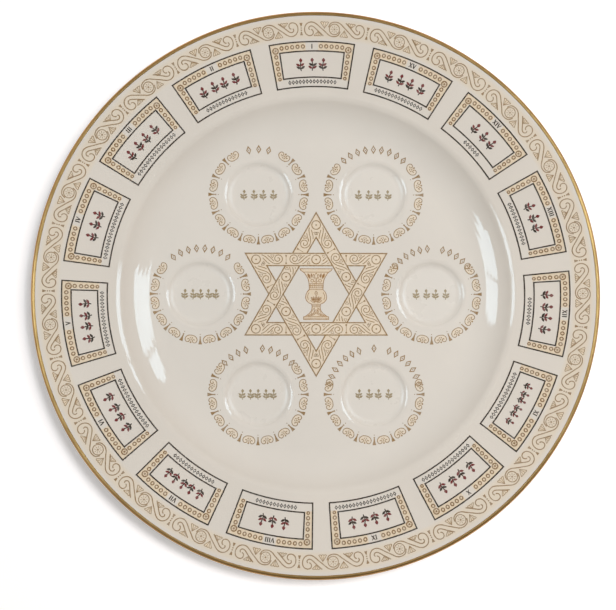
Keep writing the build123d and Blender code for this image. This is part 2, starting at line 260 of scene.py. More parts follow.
@dataclass(frozen=True)
class PlateSection:
    """The plate's section, with r outward from the axis and z up from the foot's rest plane."""

    diameter: float = 330.0
    rim_width: float = 47.2
    rim_slope: float = 10.0
    edge_thickness: float = 3.6
    shoulder_radius: float = 9.0
    cove_radius: float = 35.3
    cove_angle: float = 41.0
    body_thickness: float = 6.0
    foot_set_out: float = 10.3
    foot_width: float = 5.0
    foot_height: float = 3.0
    toe_radius: float = 0.8
    root_radius: float = 1.5
    root_reach: float = 2.6
    well_count: int = 6
    well_pitch: float = 68.6
    well_mouth: float = 21.4
    well_depth: float = 1.95
    well_wall: float = 32.0
    well_lip: float = 5.4
    well_heel: float = 6.0
    first_well: float = 30.0
    rim_spans: int = 10
    under_spans: int = 7
    hub_rings: Tuple[float, ...] = (60.0, 30.0, 10.0)

    @property
    def radius(self) -> float:
        """The plate's outer radius."""
        return self.diameter / 2

    @property
    def edge_radius(self) -> float:
        """The radius of the rounded edge."""
        return self.edge_thickness / 2

    @property
    def outer_cove(self) -> float:
        """The radius of the underside's curve, about the cove's centre."""
        return self.cove_radius + self.body_thickness

    @property
    def floor_z(self) -> float:
        """The height of the floor."""
        return self.foot_height + self.body_thickness

    @property
    def floor_radius(self) -> float:
        """Where the flat floor ends and the cove starts.

        Returns:
            The radius.
        """
        lean, slope = math.radians(self.cove_angle), math.radians(self.rim_slope)
        shoulder = self.shoulder_radius * (math.sin(lean) - math.sin(slope))
        return self.radius - self.rim_width - shoulder - self.cove_radius * math.sin(lean)

    @property
    def cove_centre(self) -> Vector:
        """The centre that the cove turns about."""
        return Vector((self.floor_radius, self.floor_z + self.cove_radius))

    @property
    def shoulder_centre(self) -> Vector:
        """The centre that the shoulder turns about."""
        return self.cove_centre - self.upward(self.cove_angle) * (self.cove_radius + self.shoulder_radius)

    @property
    def rim_start(self) -> Vector:
        """Where the shoulder becomes the rim's straight face."""
        return self.shoulder_centre + self.upward(self.rim_slope) * self.shoulder_radius

    @property
    def rim_end(self) -> Vector:
        """Where the rim's face becomes the rounded edge.

        Returns:
            The point in the section.
        """
        start = self.rim_start
        run = self.radius - self.edge_radius * (1 + math.sin(math.radians(self.rim_slope))) - start.x
        return start + Vector((run, run * math.tan(math.radians(self.rim_slope))))

    @property
    def edge_centre(self) -> Vector:
        """The centre of the rounded edge."""
        return self.rim_end - self.upward(self.rim_slope) * self.edge_radius

    def upward(self, angle: float) -> Vector:
        """The upward normal of a face that climbs outward at this angle."""
        return Vector((-math.sin(math.radians(angle)), math.cos(math.radians(angle))))

    def under_slope(self) -> float:
        """The slope of the rim's underside, which touches the edge's round and the inner shoulder.

        Returns:
            The angle in degrees.
        """
        across = self.edge_centre - self.shoulder_centre
        reach = self.edge_radius + self.shoulder_radius - self.body_thickness
        return math.degrees(math.atan2(across.y, across.x) + math.acos(reach / across.length)) - 90

    def face_path(self) -> Path:
        """The face from the floor's end out over the rim to where the rounded edge starts.

        Returns:
            Points along the section.
        """
        turn, steps = self.rim_slope - self.cove_angle, self.rim_spans
        path = arc(self.cove_centre, self.cove_radius, -90, self.cove_angle, steps=28)
        path += arc(self.shoulder_centre, self.shoulder_radius, 90 + self.cove_angle, turn, steps=14)[1:]
        start, end = self.rim_start, self.rim_end
        return path + [tuple(start.lerp(end, k / steps)) for k in range(1, steps + 1)]

    def under_path(self) -> Path:
        """The rounded edge and the underside, in to the axis, foot ring included.

        Returns:
            Points along the section.
        """
        tilt = self.under_slope()
        sweep = tilt - 180 - self.rim_slope
        path = arc(self.edge_centre, self.edge_radius, 90 + self.rim_slope, sweep, steps=26)[1:]
        inner_shoulder = self.shoulder_radius - self.body_thickness
        shoulder = arc(self.shoulder_centre, inner_shoulder, 90 + tilt, self.cove_angle - tilt, steps=8)
        for k in range(1, self.under_spans):
            path.append(tuple(Vector(path[-1]).lerp(Vector(shoulder[0]), 1 / (self.under_spans + 1 - k))))
        outer = self.floor_radius + self.foot_set_out
        inner = outer - self.foot_width
        last = outer + self.root_reach
        lean = math.degrees(math.asin((last - self.floor_radius) / self.outer_cove))
        cove = arc(self.cove_centre, self.outer_cove, self.cove_angle - 90, lean - self.cove_angle, steps=16)
        foot = [
            (last, self.under_height(last), 0),
            (outer, self.under_height(outer), self.root_radius),
            (outer, 0, self.toe_radius),
            (inner, 0, self.toe_radius),
            (inner, self.under_height(inner), self.root_radius),
            (inner - self.root_reach, self.under_height(inner - self.root_reach), 0),
        ]
        path += shoulder + cove[1:] + rounded(foot)[1:]
        return path + [(r, self.foot_height) for r in (self.floor_radius, *self.hub_rings)]

    def under_height(self, r: float) -> float:
        """The height of the body's underside near the foot."""
        out = max(0.0, r - self.floor_radius)
        return self.cove_centre.y - math.sqrt(self.outer_cove**2 - out**2)

    def well_path(self) -> Path:
        """A well's section from its mouth in to the flat of its floor, about the well's own axis.

        Returns:
            Points along the section.
        """
        lip = Vector((self.well_mouth, self.floor_z - self.well_lip))
        normal = self.upward(self.well_wall)
        top = lip + normal * self.well_lip
        heel_z = self.floor_z - self.well_depth + self.well_heel
        drop = top.y - (heel_z - self.well_heel * math.cos(math.radians(self.well_wall)))
        foot = Vector((top.x - drop / math.tan(math.radians(self.well_wall)), top.y - drop))
        heel = foot + normal * self.well_heel
        path = arc(lip, self.well_lip, 90, self.well_wall, steps=12) + [tuple(top.lerp(foot, 0.5))]
        return path + arc(heel, self.well_heel, self.well_wall - 90, -self.well_wall, steps=10)

    def well_centre(self, index: int) -> Point:
        """The plan centre of a well, counted clockwise from the one right of the top."""
        return on_clock(self.well_pitch, self.first_well + index * 360 / self.well_count)

    def height(self, point: Point) -> float:
        """The height of the plate's face, wells included.

        Args:
            point: A plan point.

        Returns:
            The height there.
        """
        for index in range(self.well_count):
            centre = self.well_centre(index)
            reach = math.hypot(point[0] - centre[0], point[1] - centre[1])
            if reach < self.well_mouth:
                return self.well_height(reach)
        return self.face_height(math.hypot(*point))

    def well_height(self, reach: float) -> float:
        """The height of a well's face.

        Args:
            reach: A distance from the well's axis.

        Returns:
            The height there.
        """
        path = self.well_path()
        for (r1, z1), (r2, z2) in zip(path, path[1:]):
            if r2 <= reach <= r1:
                return z1 + (z2 - z1) * (r1 - reach) / (r1 - r2)
        return self.floor_z - self.well_depth

    def face_height(self, r: float) -> float:
        """The height of the plate's face, without the wells.

        Args:
            r: A distance from the plate's axis.

        Returns:
            The height there.
        """
        if r <= self.floor_radius:
            return self.floor_z
        cove, shoulder, start = self.cove_centre, self.shoulder_centre, self.rim_start
        if r <= cove.x + self.cove_radius * math.sin(math.radians(self.cove_angle)):
            return cove.y - math.sqrt(self.cove_radius**2 - (r - cove.x) ** 2)
        if r <= start.x:
            return shoulder.y + math.sqrt(self.shoulder_radius**2 - (r - shoulder.x) ** 2)
        return start.y + (r - start.x) * math.tan(math.radians(self.rim_slope))


# Finishes


NOISE_SPAN: Point = (0.3, 0.7)


def from_screen(*levels: float) -> Colour:
    """A linear colour from the 0 to 255 levels of red, green and blue that a screen shows."""
    shares = [level / 255 for level in levels]
    return tuple(s / 12.92 if s <= 0.04045 else ((s + 0.055) / 1.055) ** 2.4 for s in shares)


class NodeSheet:
    """A node tree with short calls for adding and joining nodes."""

    def __init__(self, tree: Tree) -> None:
        """Starts on a tree."""
        self.tree = tree

    def add(self, kind: str, settings: Optional[Values] = None, **values: object) -> bpy.types.Node:
        """Adds a node.

        Args:
            kind: The node's type.
            settings: Its properties.
            **values: Values of its inputs, or sockets to join to them, by name with _ for a space, or by
                number as in _0.

        Returns:
            The node.
        """
        node = self.tree.nodes.new(kind)
        for key, value in (settings or {}).items():
            setattr(node, key, value)
        for key, value in values.items():
            place = int(key[1:]) if key[1:].isdigit() else key.replace("_", " ")
            self.feed(node.inputs[place], value)
        return node

    def feed(self, socket: Socket, value: object) -> None:
        """Sets an input, or joins another node's output to it.

        Args:
            socket: The input.
            value: Its value, or the output.
        """
        if isinstance(value, Socket):
            self.tree.links.new(value, socket)
        elif socket.type == "RGBA":
            socket.default_value = (*value, 1.0)
        else:
            socket.default_value = value

    def mix(self, share: Socket, first: object, second: object) -> Socket:
        """The mix of two colours."""
        return self.add("ShaderNodeMix", {"data_type": "RGBA"}, _0=share, _6=first, _7=second).outputs[2]

    def remap(self, value: Socket, low: float, high: float, to_low: float, to_high: float) -> Socket:
        """A value carried from one range to another, and held inside it."""
        return self.add("ShaderNodeMapRange", _0=value, _1=low, _2=high, _3=to_low, _4=to_high).outputs[0]

    def maths(self, operation: str, first: object, second: object) -> Socket:
        """A sum on two values."""
        return self.add("ShaderNodeMath", {"operation": operation}, _0=first, _1=second).outputs[0]

    def where(self) -> Socket:
        """The place in the plate's own frame."""
        return self.add("ShaderNodeTexCoord").outputs["Object"]

    def upright(self) -> Socket:
        """How far the surface faces up."""
        normal = self.add("ShaderNodeTexCoord").outputs["Normal"]
        return self.add("ShaderNodeSeparateXYZ", Vector=normal).outputs["Z"]

    def radius(self) -> Socket:
        """The distance from the plate's axis.

        Returns:
            The distance, in metres.
        """
        kind, level = "ShaderNodeVectorMath", (1.0, 1.0, 0.0)
        flat = self.add(kind, {"operation": "MULTIPLY"}, _0=self.where(), _1=level).outputs[0]
        return self.add(kind, {"operation": "LENGTH"}, _0=flat).outputs["Value"]

    def noise(self, scale: object, detail: float = 3.0, roughness: float = 0.5) -> Socket:
        """Noise in the plate's own frame."""
        kind, where = "ShaderNodeTexNoise", self.where()
        return self.add(kind, Vector=where, Scale=scale, Detail=detail, Roughness=roughness).outputs[0]

    def group(self, tree: Tree, **values: object) -> Socket:
        """Places a node group, and gives its output."""
        return self.add("ShaderNodeGroup", {"node_tree": tree}, **values).outputs[0]


class Kiln:
    """The effects that the fired finishes share, each as a node group that is built once."""

    def _start(
        self, name: str, output: Tuple[str, str], **inputs: str
    ) -> Tuple[NodeSheet, Dict[str, Socket]]:
        """Starts a group.

        Args:
            name: The group's name.
            output: Its output's name and type.
            **inputs: Its inputs' types.

        Returns:
            The group's sheet, and the values given to it.
        """
        tree = bpy.data.node_groups.new(name, "ShaderNodeTree")
        for key, kind in inputs.items():
            tree.interface.new_socket(name=key, in_out="INPUT", socket_type=f"NodeSocket{kind}")
        tree.interface.new_socket(name=output[0], in_out="OUTPUT", socket_type=f"NodeSocket{output[1]}")
        sheet = NodeSheet(tree)
        return sheet, sheet.add("NodeGroupInput").outputs

    @cached_property
    def firing_tone(self) -> Tree:
        """A colour that drifts a little over the surface, as glaze and enamel do in the kiln.

        Returns:
            The group.
        """
        colour = ("Colour", "Color")
        sheet, given = self._start("firing_tone", colour, Colour="Color", Drift="Float", Scale="Float")
        cloud = sheet.noise(given["Scale"], detail=4.0, roughness=0.6)
        swing = sheet.maths("MULTIPLY", sheet.remap(cloud, *NOISE_SPAN, -1.0, 1.0), given["Drift"])
        level = sheet.maths("ADD", swing, 1.0)
        tint = sheet.add("ShaderNodeHueSaturation", Color=given["Colour"], Value=level)
        sheet.add("NodeGroupOutput", Colour=tint.outputs[0])
        return sheet.tree

    @cached_property
    def thin_spots(self) -> Tree:
        """A mask of the spots where a print or a gold line is worn or was laid thin.

        Returns:
            The group.
        """
        sheet, given = self._start("thin_spots", ("Mask", "Float"), Scale="Float", Amount="Float")
        grain = sheet.noise(given["Scale"], detail=5.0, roughness=0.65)
        spots_from, spots_full = 0.42, 0.72
        spots = sheet.remap(grain, spots_from, spots_full, 0.0, 1.0)
        sheet.add("NodeGroupOutput", Mask=sheet.maths("MULTIPLY", spots, given["Amount"]))
        return sheet.tree

    @cached_property
    def ripple(self) -> Tree:
        """The soft unevenness of a fired glaze, as a height.

        Returns:
            The group.
        """
        sheet, given = self._start("glaze_ripple", ("Height", "Float"), Scale="Float")
        sheet.add("NodeGroupOutput", Height=sheet.noise(given["Scale"], detail=1.5, roughness=0.4))
        return sheet.tree


def new_material(name: str, colour: Colour) -> Tuple[bpy.types.Material, NodeSheet]:
    """An empty node material.

    Args:
        name: Its name.
        colour: Its colour in solid view.

    Returns:
        The material and its sheet.
    """
    material = bpy.data.materials.new(name)
    material.use_nodes = True
    material.node_tree.nodes.clear()
    material.diffuse_color = (*colour, 1.0)
    return material, NodeSheet(material.node_tree)


@dataclass(frozen=True)
class Finish:
    """A fired finish: its colour drifts a little, and its surface is softly uneven.

    The relief is a bump's strength and its depth in metres.
    """

    name: str
    colour: Colour
    roughness: float
    drift: float
    drift_scale: float
    relief: Point
    relief_scale: float

    def material(self, kiln: Kiln) -> bpy.types.Material:
        """Builds the material.

        Args:
            kiln: The shared effects.

        Returns:
            The material.
        """
        material, sheet = new_material(self.name, self.colour)
        strength, depth = self.relief
        bump = sheet.add("ShaderNodeBump", Strength=strength, Distance=depth, Height=self.height(sheet, kiln))
        shader = sheet.add("ShaderNodeBsdfPrincipled", Normal=bump.outputs[0], **self.surface(sheet, kiln))
        sheet.add("ShaderNodeOutputMaterial", Surface=shader.outputs[0])
        return material

    def height(self, sheet: NodeSheet, kiln: Kiln) -> Socket:
        """The unevenness of the surface."""
        return sheet.group(kiln.ripple, Scale=self.relief_scale)

    def tone(self, sheet: NodeSheet, kiln: Kiln, ground: object) -> Socket:
        """A ground colour with the finish's drift."""
        return sheet.group(kiln.firing_tone, Colour=ground, Drift=self.drift, Scale=self.drift_scale)

    def surface(self, sheet: NodeSheet, kiln: Kiln) -> Values:
        """The shader's inputs that are the finish's own."""
        raise NotImplementedError


@dataclass(frozen=True)
class Glaze(Finish):
    """The cream glaze over the body: glossy, faintly clouded, with pinpoint specks of iron.

    It is a shade darker and warmer on the rim than in the dish, and blushed along the border.
    """

    name: str = "cream_glaze"
    colour: Colour = from_screen(222, 213, 201)
    roughness: float = 0.045
    drift: float = 0.025
    drift_scale: float = 14.0
    relief: Point = (0.16, 0.0006)
    relief_scale: float = 38.0
    rim: Colour = from_screen(219, 209, 196)
    rim_from: Point = (104.0, 120.0)
    blush: Colour = from_screen(222, 207, 186)
    blush_from: Point = (148.6, 151.0)
    blush_to: Point = (159.2, 161.4)
    face_from: Point = (0.0, 0.2)
    speck: Colour = from_screen(120, 100, 82)
    speck_scale: float = 75.0
    speck_size: Point = (0.018, 0.04)
    speck_share: Point = (0.90, 0.91)
    speck_depth: float = 0.8
    gloss_scale: float = 90.0
    gloss_swing: Point = (0.8, 1.3)

    def surface(self, sheet: NodeSheet, kiln: Kiln) -> Values:
        """The colour with its warm rim, blush and specks, and the gloss.

        Args:
            sheet: The material's sheet.
            kiln: The shared effects.

        Returns:
            The shader's inputs.
        """
        out = sheet.radius()
        rim, rise, fall = ([r * MM for r in span] for span in (self.rim_from, self.blush_from, self.blush_to))
        warm = sheet.mix(sheet.remap(out, *rim, 0.0, 1.0), self.colour, self.rim)
        ring = sheet.maths("MULTIPLY", sheet.remap(out, *rise, 0.0, 1.0), sheet.remap(out, *fall, 1.0, 0.0))
        ring = sheet.maths("MULTIPLY", ring, sheet.remap(sheet.upright(), *self.face_from, 0.0, 1.0))
        tone = self.tone(sheet, kiln, sheet.mix(ring, warm, self.blush))
        cells = sheet.add("ShaderNodeTexVoronoi", Vector=sheet.where(), Scale=self.speck_scale).outputs
        near = sheet.remap(cells["Distance"], *self.speck_size, 1.0, 0.0)
        some = sheet.remap(cells["Color"], *self.speck_share, 0.0, self.speck_depth)
        colour = sheet.mix(sheet.maths("MULTIPLY", near, some), tone, self.speck)
        swing = [self.roughness * share for share in self.gloss_swing]
        gloss = sheet.remap(sheet.noise(self.gloss_scale), *NOISE_SPAN, *swing)
        return {"Base_Color": colour, "Roughness": gloss, "IOR": 1.5}


@dataclass(frozen=True)
class WornFinish(Finish):
    """A finish with thin spots that show what lies under it."""

    under: Colour
    thin: float
    thin_scale: float

    def spots(self, sheet: NodeSheet, kiln: Kiln) -> Socket:
        """The mask of the thin spots."""
        return sheet.group(kiln.thin_spots, Scale=self.thin_scale, Amount=self.thin)


@dataclass(frozen=True)
class Biscuit(WornFinish):
    """The bare fired clay on the toe of the foot ring, where the glaze was wiped off."""

    name: str = "biscuit_toe"
    colour: Colour = from_screen(205, 190, 168)
    roughness: float = 0.85
    drift: float = 0.08
    drift_scale: float = 120.0
    relief: Point = (0.5, 0.0002)
    relief_scale: float = 2400.0
    under: Colour = from_screen(150, 132, 110)
    thin: float = 0.6
    thin_scale: float = 60.0

    def height(self, sheet: NodeSheet, kiln: Kiln) -> Socket:
        """The grain of the clay."""
        return sheet.noise(self.relief_scale, detail=2.0)

    def surface(self, sheet: NodeSheet, kiln: Kiln) -> Values:
        """The clay's colour, soiled in spots."""
        colour = sheet.mix(self.spots(sheet, kiln), self.tone(sheet, kiln, self.colour), self.under)
        return {"Base_Color": colour, "Roughness": self.roughness}


@dataclass(frozen=True)
class Gilding(WornFinish):
    """The burnished gold line: metal with brushed streaks, rubbed brown in spots, with painted shade along
    the outer edge.
    """

    name: str = "burnished_gilt"
    colour: Colour = from_screen(220, 174, 110)
    roughness: float = 0.40
    drift: float = 0.05
    drift_scale: float = 18.0
    relief: Point = (0.12, 0.0002)
    relief_scale: float = 90.0
    # the rubbed brown of the worn spots, which is also the colour of the painted shade on the outer edge
    under: Colour = from_screen(120, 84, 42)
    thin: float = 0.45
    thin_scale: float = 30.0
    # painted shade: where the gold's face turns sideways, on the outer edge, it darkens towards the rubbed
    # brown
    painted_edge_shade_from: Point = (0.75, 0.25)
    painted_edge_shade: float = 0.85
    worn_roughness: float = 0.56
    worn_full: float = 0.7

    def surface(self, sheet: NodeSheet, kiln: Kiln) -> Values:
        """The gold, rubbed in spots, with painted shade along the outer edge where it faces sideways.

        Args:
            sheet: The material's sheet.
            kiln: The shared effects.

        Returns:
            The shader's inputs.
        """
        worn = self.spots(sheet, kiln)
        # painted shade: a mask that darkens the gold where its face turns sideways, along the outer edge
        edge = sheet.remap(sheet.upright(), *self.painted_edge_shade_from, 0.0, self.painted_edge_shade)
        tone = self.tone(sheet, kiln, self.colour)
        # the worn spots (real wear) and the painted edge shade both turn the gold towards the rubbed brown
        colour = sheet.mix(sheet.maths("MAXIMUM", worn, edge), tone, self.under)
        gloss = sheet.remap(worn, 0.0, self.worn_full, self.roughness, self.worn_roughness)
        return {"Base_Color": colour, "Metallic": 1.0, "Roughness": gloss}


@dataclass(frozen=True)
class PrintEnamel(WornFinish):
    """A fired print: satin enamel whose thin spots let the glaze show."""

    roughness: float = 0.35
    drift: float = 0.10
    drift_scale: float = 30.0
    relief: Point = (0.25, 0.0006)
    relief_scale: float = 38.0
    under: Colour = from_screen(223, 215, 203)
    thin: float = 0.3
    thin_scale: float = 420.0
    metallic: float = 0.0
    slot: Slot = Slot.GOLD_PRINT
    worn_gloss: float = 0.6
    worn_full: float = 0.5

    def surface(self, sheet: NodeSheet, kiln: Kiln) -> Values:
        """The enamel, with the glaze in its thin spots.

        Args:
            sheet: The material's sheet.
            kiln: The shared effects.

        Returns:
            The shader's inputs.
        """
        worn = self.spots(sheet, kiln)
        colour = sheet.mix(worn, self.tone(sheet, kiln, self.colour), self.under)
        gloss = sheet.remap(worn, 0.0, self.worn_full, self.roughness, self.roughness * self.worn_gloss)
        return {"Base_Color": colour, "Metallic": self.metallic, "Roughness": gloss}


class Ink(Enum):
    """The enamels that the prints are fired with."""

    GOLD = PrintEnamel("gold_enamel", from_screen(150, 118, 74), metallic=0.1)
    RIM_GOLD = PrintEnamel("rim_gold_enamel", from_screen(150, 121, 84), metallic=0.1)
    BEAD_GOLD = PrintEnamel("bead_gold_enamel", from_screen(138, 106, 68), metallic=0.1)
    FAN_GOLD = PrintEnamel("fan_gold_enamel", from_screen(216, 196, 168), thin=0.4)
    CUP_GOLD = PrintEnamel("cup_gold_enamel", from_screen(160, 116, 66), metallic=0.1)
    WELL_GOLD = PrintEnamel("well_gold_enamel", from_screen(156, 136, 100), metallic=0.1)
    CUP_WASH = PrintEnamel("cup_wash", from_screen(224, 202, 172), thin=0.4, drift=0.03)
    BAND_WASH = PrintEnamel("band_wash", from_screen(226, 206, 180), drift=0.03)
    LEAF_WASH = PrintEnamel("leaf_wash", from_screen(224, 207, 184), thin=0.4, drift=0.03)
    BEAD_WASH = PrintEnamel("bead_wash", from_screen(221, 200, 170), drift=0.03)
    DARK = PrintEnamel("umber_enamel", from_screen(48, 34, 18), thin=0.12, slot=Slot.DARK_PRINT)
    FINE = PrintEnamel("thin_umber_enamel", from_screen(54, 47, 40), thin=0.25, slot=Slot.DARK_PRINT)
    RED = PrintEnamel("oxblood_enamel", from_screen(112, 34, 32), thin=0.15, slot=Slot.DARK_PRINT)


class Palette:
    """Every material of the plate, built once."""

    def __init__(self) -> None:
        """Builds the materials."""
        kiln = Kiln()
        body = (Glaze(), Biscuit(), Glaze("worn_well_glaze", roughness=0.3))
        self.body = [finish.material(kiln) for finish in body]
        self.gilding = Gilding().material(kiln)
        self.inks = {ink: ink.value.material(kiln) for ink in Ink}


# Where a drawing lies on the plate, and the print that it goes on


class Placement:
    """Carries a drawing to its place on the plate."""

    def place(self, point: Point) -> Point:
        """The plan point of a point in the drawing."""
        raise NotImplementedError


@dataclass(frozen=True)
class OnArc(Placement):
    """Lays a drawing along an arc: x runs clockwise round it and y outward from it."""

    radius: float
    clock: float
    centre: Point = CENTRE

    def place(self, point: Point) -> Point:
        """The plan point of a point in the drawing."""
        x, y = on_clock(self.radius + point[1], self.clock + math.degrees(point[0] / self.radius))
        return (self.centre[0] + x, self.centre[1] + y)


@dataclass(frozen=True)
class OnBoard(Placement):
    """Lays a drawing flat: its origin at a plan point, and its y towards a clock angle."""

    centre: Point = CENTRE
    clock: float = 0.0

    def place(self, point: Point) -> Point:
        """The plan point of a point in the drawing."""
        s, c = on_clock(1.0, self.clock)
        return (self.centre[0] + point[0] * c + point[1] * s, self.centre[1] - point[0] * s + point[1] * c)


def add_piece(
    name: str,
    vertices: Sequence[Vertex],
    faces: Sequence[Face],
    materials: Sequence[bpy.types.Material],
    replaced: Sequence[str],
    smooth_shaded: bool = True,
) -> Piece:
    """Makes a mesh object that rides on the plate.

    Args:
        name: The object's name.
        vertices: Its vertices, in millimetres.
        faces: Its faces, as indices into the vertices.
        materials: Its materials.
        replaced: The frame's nodes that it stands for.
        smooth_shaded: Whether its faces are shaded smooth.

    Returns:
        The new object.
    """
    mesh = bpy.data.meshes.new(name)
    mesh.from_pydata([(x * MM, y * MM, z * MM) for x, y, z in vertices], [], faces)
    mesh.polygons.foreach_set("use_smooth", [smooth_shaded] * len(mesh.polygons))
    for material in materials:
        mesh.materials.append(material)
    mesh.update()
    piece = bpy.data.objects.new(name, mesh)
    bpy.context.scene.collection.objects.link(piece)
    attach(piece, "root")
    if replaced:
        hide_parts(*replaced)
    return piece


@dataclass
class Print:
    """A fired-on print: lines and shapes gathered into one mesh of thin closed layers that follow the face.

    Neighbouring layers differ a little in height, in steps that come round again, so that none coincide.
    """

    name: str
    section: PlateSection
    proud: float = 0.035
    sunk: float = 0.02
    top_steps: Tuple[float, int] = (0.002, 7)
    foot_steps: Tuple[float, int] = (0.001, 5)
    least_mitre: float = 0.5
    vertices: List[Vertex] = field(default_factory=list)
    faces: List[Face] = field(default_factory=list)
    layers: int = 0

    def line(
        self, points: Path, width: float, at: Placement, closed: bool = False, keep: Optional[Keep] = None
    ) -> None:
        """Adds a line of even width.

        Args:
            points: The line's middle, in the drawing.
            width: Its width.
            at: Where the drawing lies.
            closed: Whether the line joins its own start.
            keep: Says which plan points are kept; the line is broken at the others.
        """
        plan = [at.place(point) for point in points]
        if keep is None:
            self._ribbon(plan, width, closed)
            return
        run: Path = []
        for point in plan + (plan[:1] if closed else []):
            if keep(point):
                run.append(point)
                continue
            self._ribbon(run, width, False)
            run = []
        self._ribbon(run, width, False)

    def shape(self, outline: Path, at: Placement, keep: Optional[Keep] = None) -> None:
        """Adds a filled shape.

        Args:
            outline: The shape's outline, in the drawing.
            at: Where the drawing lies.
            keep: Says which plan points are kept; a shape with others is left out.
        """
        plan = [at.place(point) for point in outline]
        if keep is not None and not all(keep(point) for point in plan):
            return
        if sum(a[0] * b[1] - b[0] * a[1] for a, b in neighbours(plan)) < 0:
            plan.reverse()
        lower, upper = self._heights()
        base, count = len(self.vertices), len(plan)
        for lift in (upper, lower):
            self.vertices += [(x, y, self.section.height((x, y)) + lift) for x, y in plan]
        self.faces.append(tuple(range(base, base + count)))
        self.faces.append(tuple(reversed(range(base + count, base + 2 * count))))
        for here, after in neighbours(range(base, base + count)):
            self.faces.append((here, here + count, after + count, after))

    def dot(self, centre: Point, radius: float, at: Placement, keep: Optional[Keep] = None) -> None:
        """Adds a filled round."""
        self.shape(circle(centre, radius, steps=12), at, keep)

    def ring(
        self, centre: Point, radius: float, width: float, at: Placement, keep: Optional[Keep] = None
    ) -> None:
        """Adds a circle of even width."""
        self.line(circle(centre, radius, steps=22), width, at, True, keep)

    def _heights(self) -> Point:
        """The next layer's foot and top over the glaze.

        Returns:
            The two heights.
        """
        self.layers += 1
        foot, top = (step * (self.layers % count) for step, count in (self.foot_steps, self.top_steps))
        return (-self.sunk - foot, self.proud + top)

    def _ribbon(self, plan: Path, width: float, closed: bool) -> None:
        """Adds one run of a line, in plan.

        Args:
            plan: Its middle; a run of fewer than two points is left out.
            width: Its width.
            closed: Whether it joins its own start.
        """
        count = len(plan)
        if count < 2:
            return
        lower, upper = self._heights()
        self.faces += tube(len(self.vertices), count, 4, closed)
        for k, here in enumerate(plan):
            before = plan[k - 1] if closed or k > 0 else here
            after = plan[(k + 1) % count] if closed or k + 1 < count else here
            first = Vector((here[0] - before[0], here[1] - before[1])).normalized()
            second = Vector((after[0] - here[0], after[1] - here[1])).normalized()
            along = (first + second).normalized()
            reach = width / 2 / max(self.least_mitre, along.dot(second if second.length else first))
            for side, lift in ((1, upper), (-1, upper), (-1, lower), (1, lower)):
                x, y = here[0] - along.y * reach * side, here[1] + along.x * reach * side
                self.vertices.append((x, y, self.section.height((x, y)) + lift))

    def make(self, palette: Palette, ink: Ink, *replaced: str) -> Piece:
        """Makes the print's object and puts it on the frame."""
        enamel, slot = palette.inks[ink], ink.value.slot
        return add_piece(self.name, self.vertices, self.faces, [enamel], replaced, smooth_shaded=False)


# The plate


@dataclass
class Assembly:
    """A sub-assembly of the plate."""

    section: PlateSection
    palette: Palette

    def build(self) -> List[Piece]:
        """Builds the pieces and puts them on the frame."""
        raise NotImplementedError

    def dress(self, node: str, ink: Ink) -> Piece:
        """Gives a node of the frame an ink.

        Args:
            node: The node's name.
            ink: The ink.

        Returns:
            The node's object.
        """
        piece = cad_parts[node]
        for slot in piece.material_slots:
            slot.material = self.palette.inks[ink]
        return piece


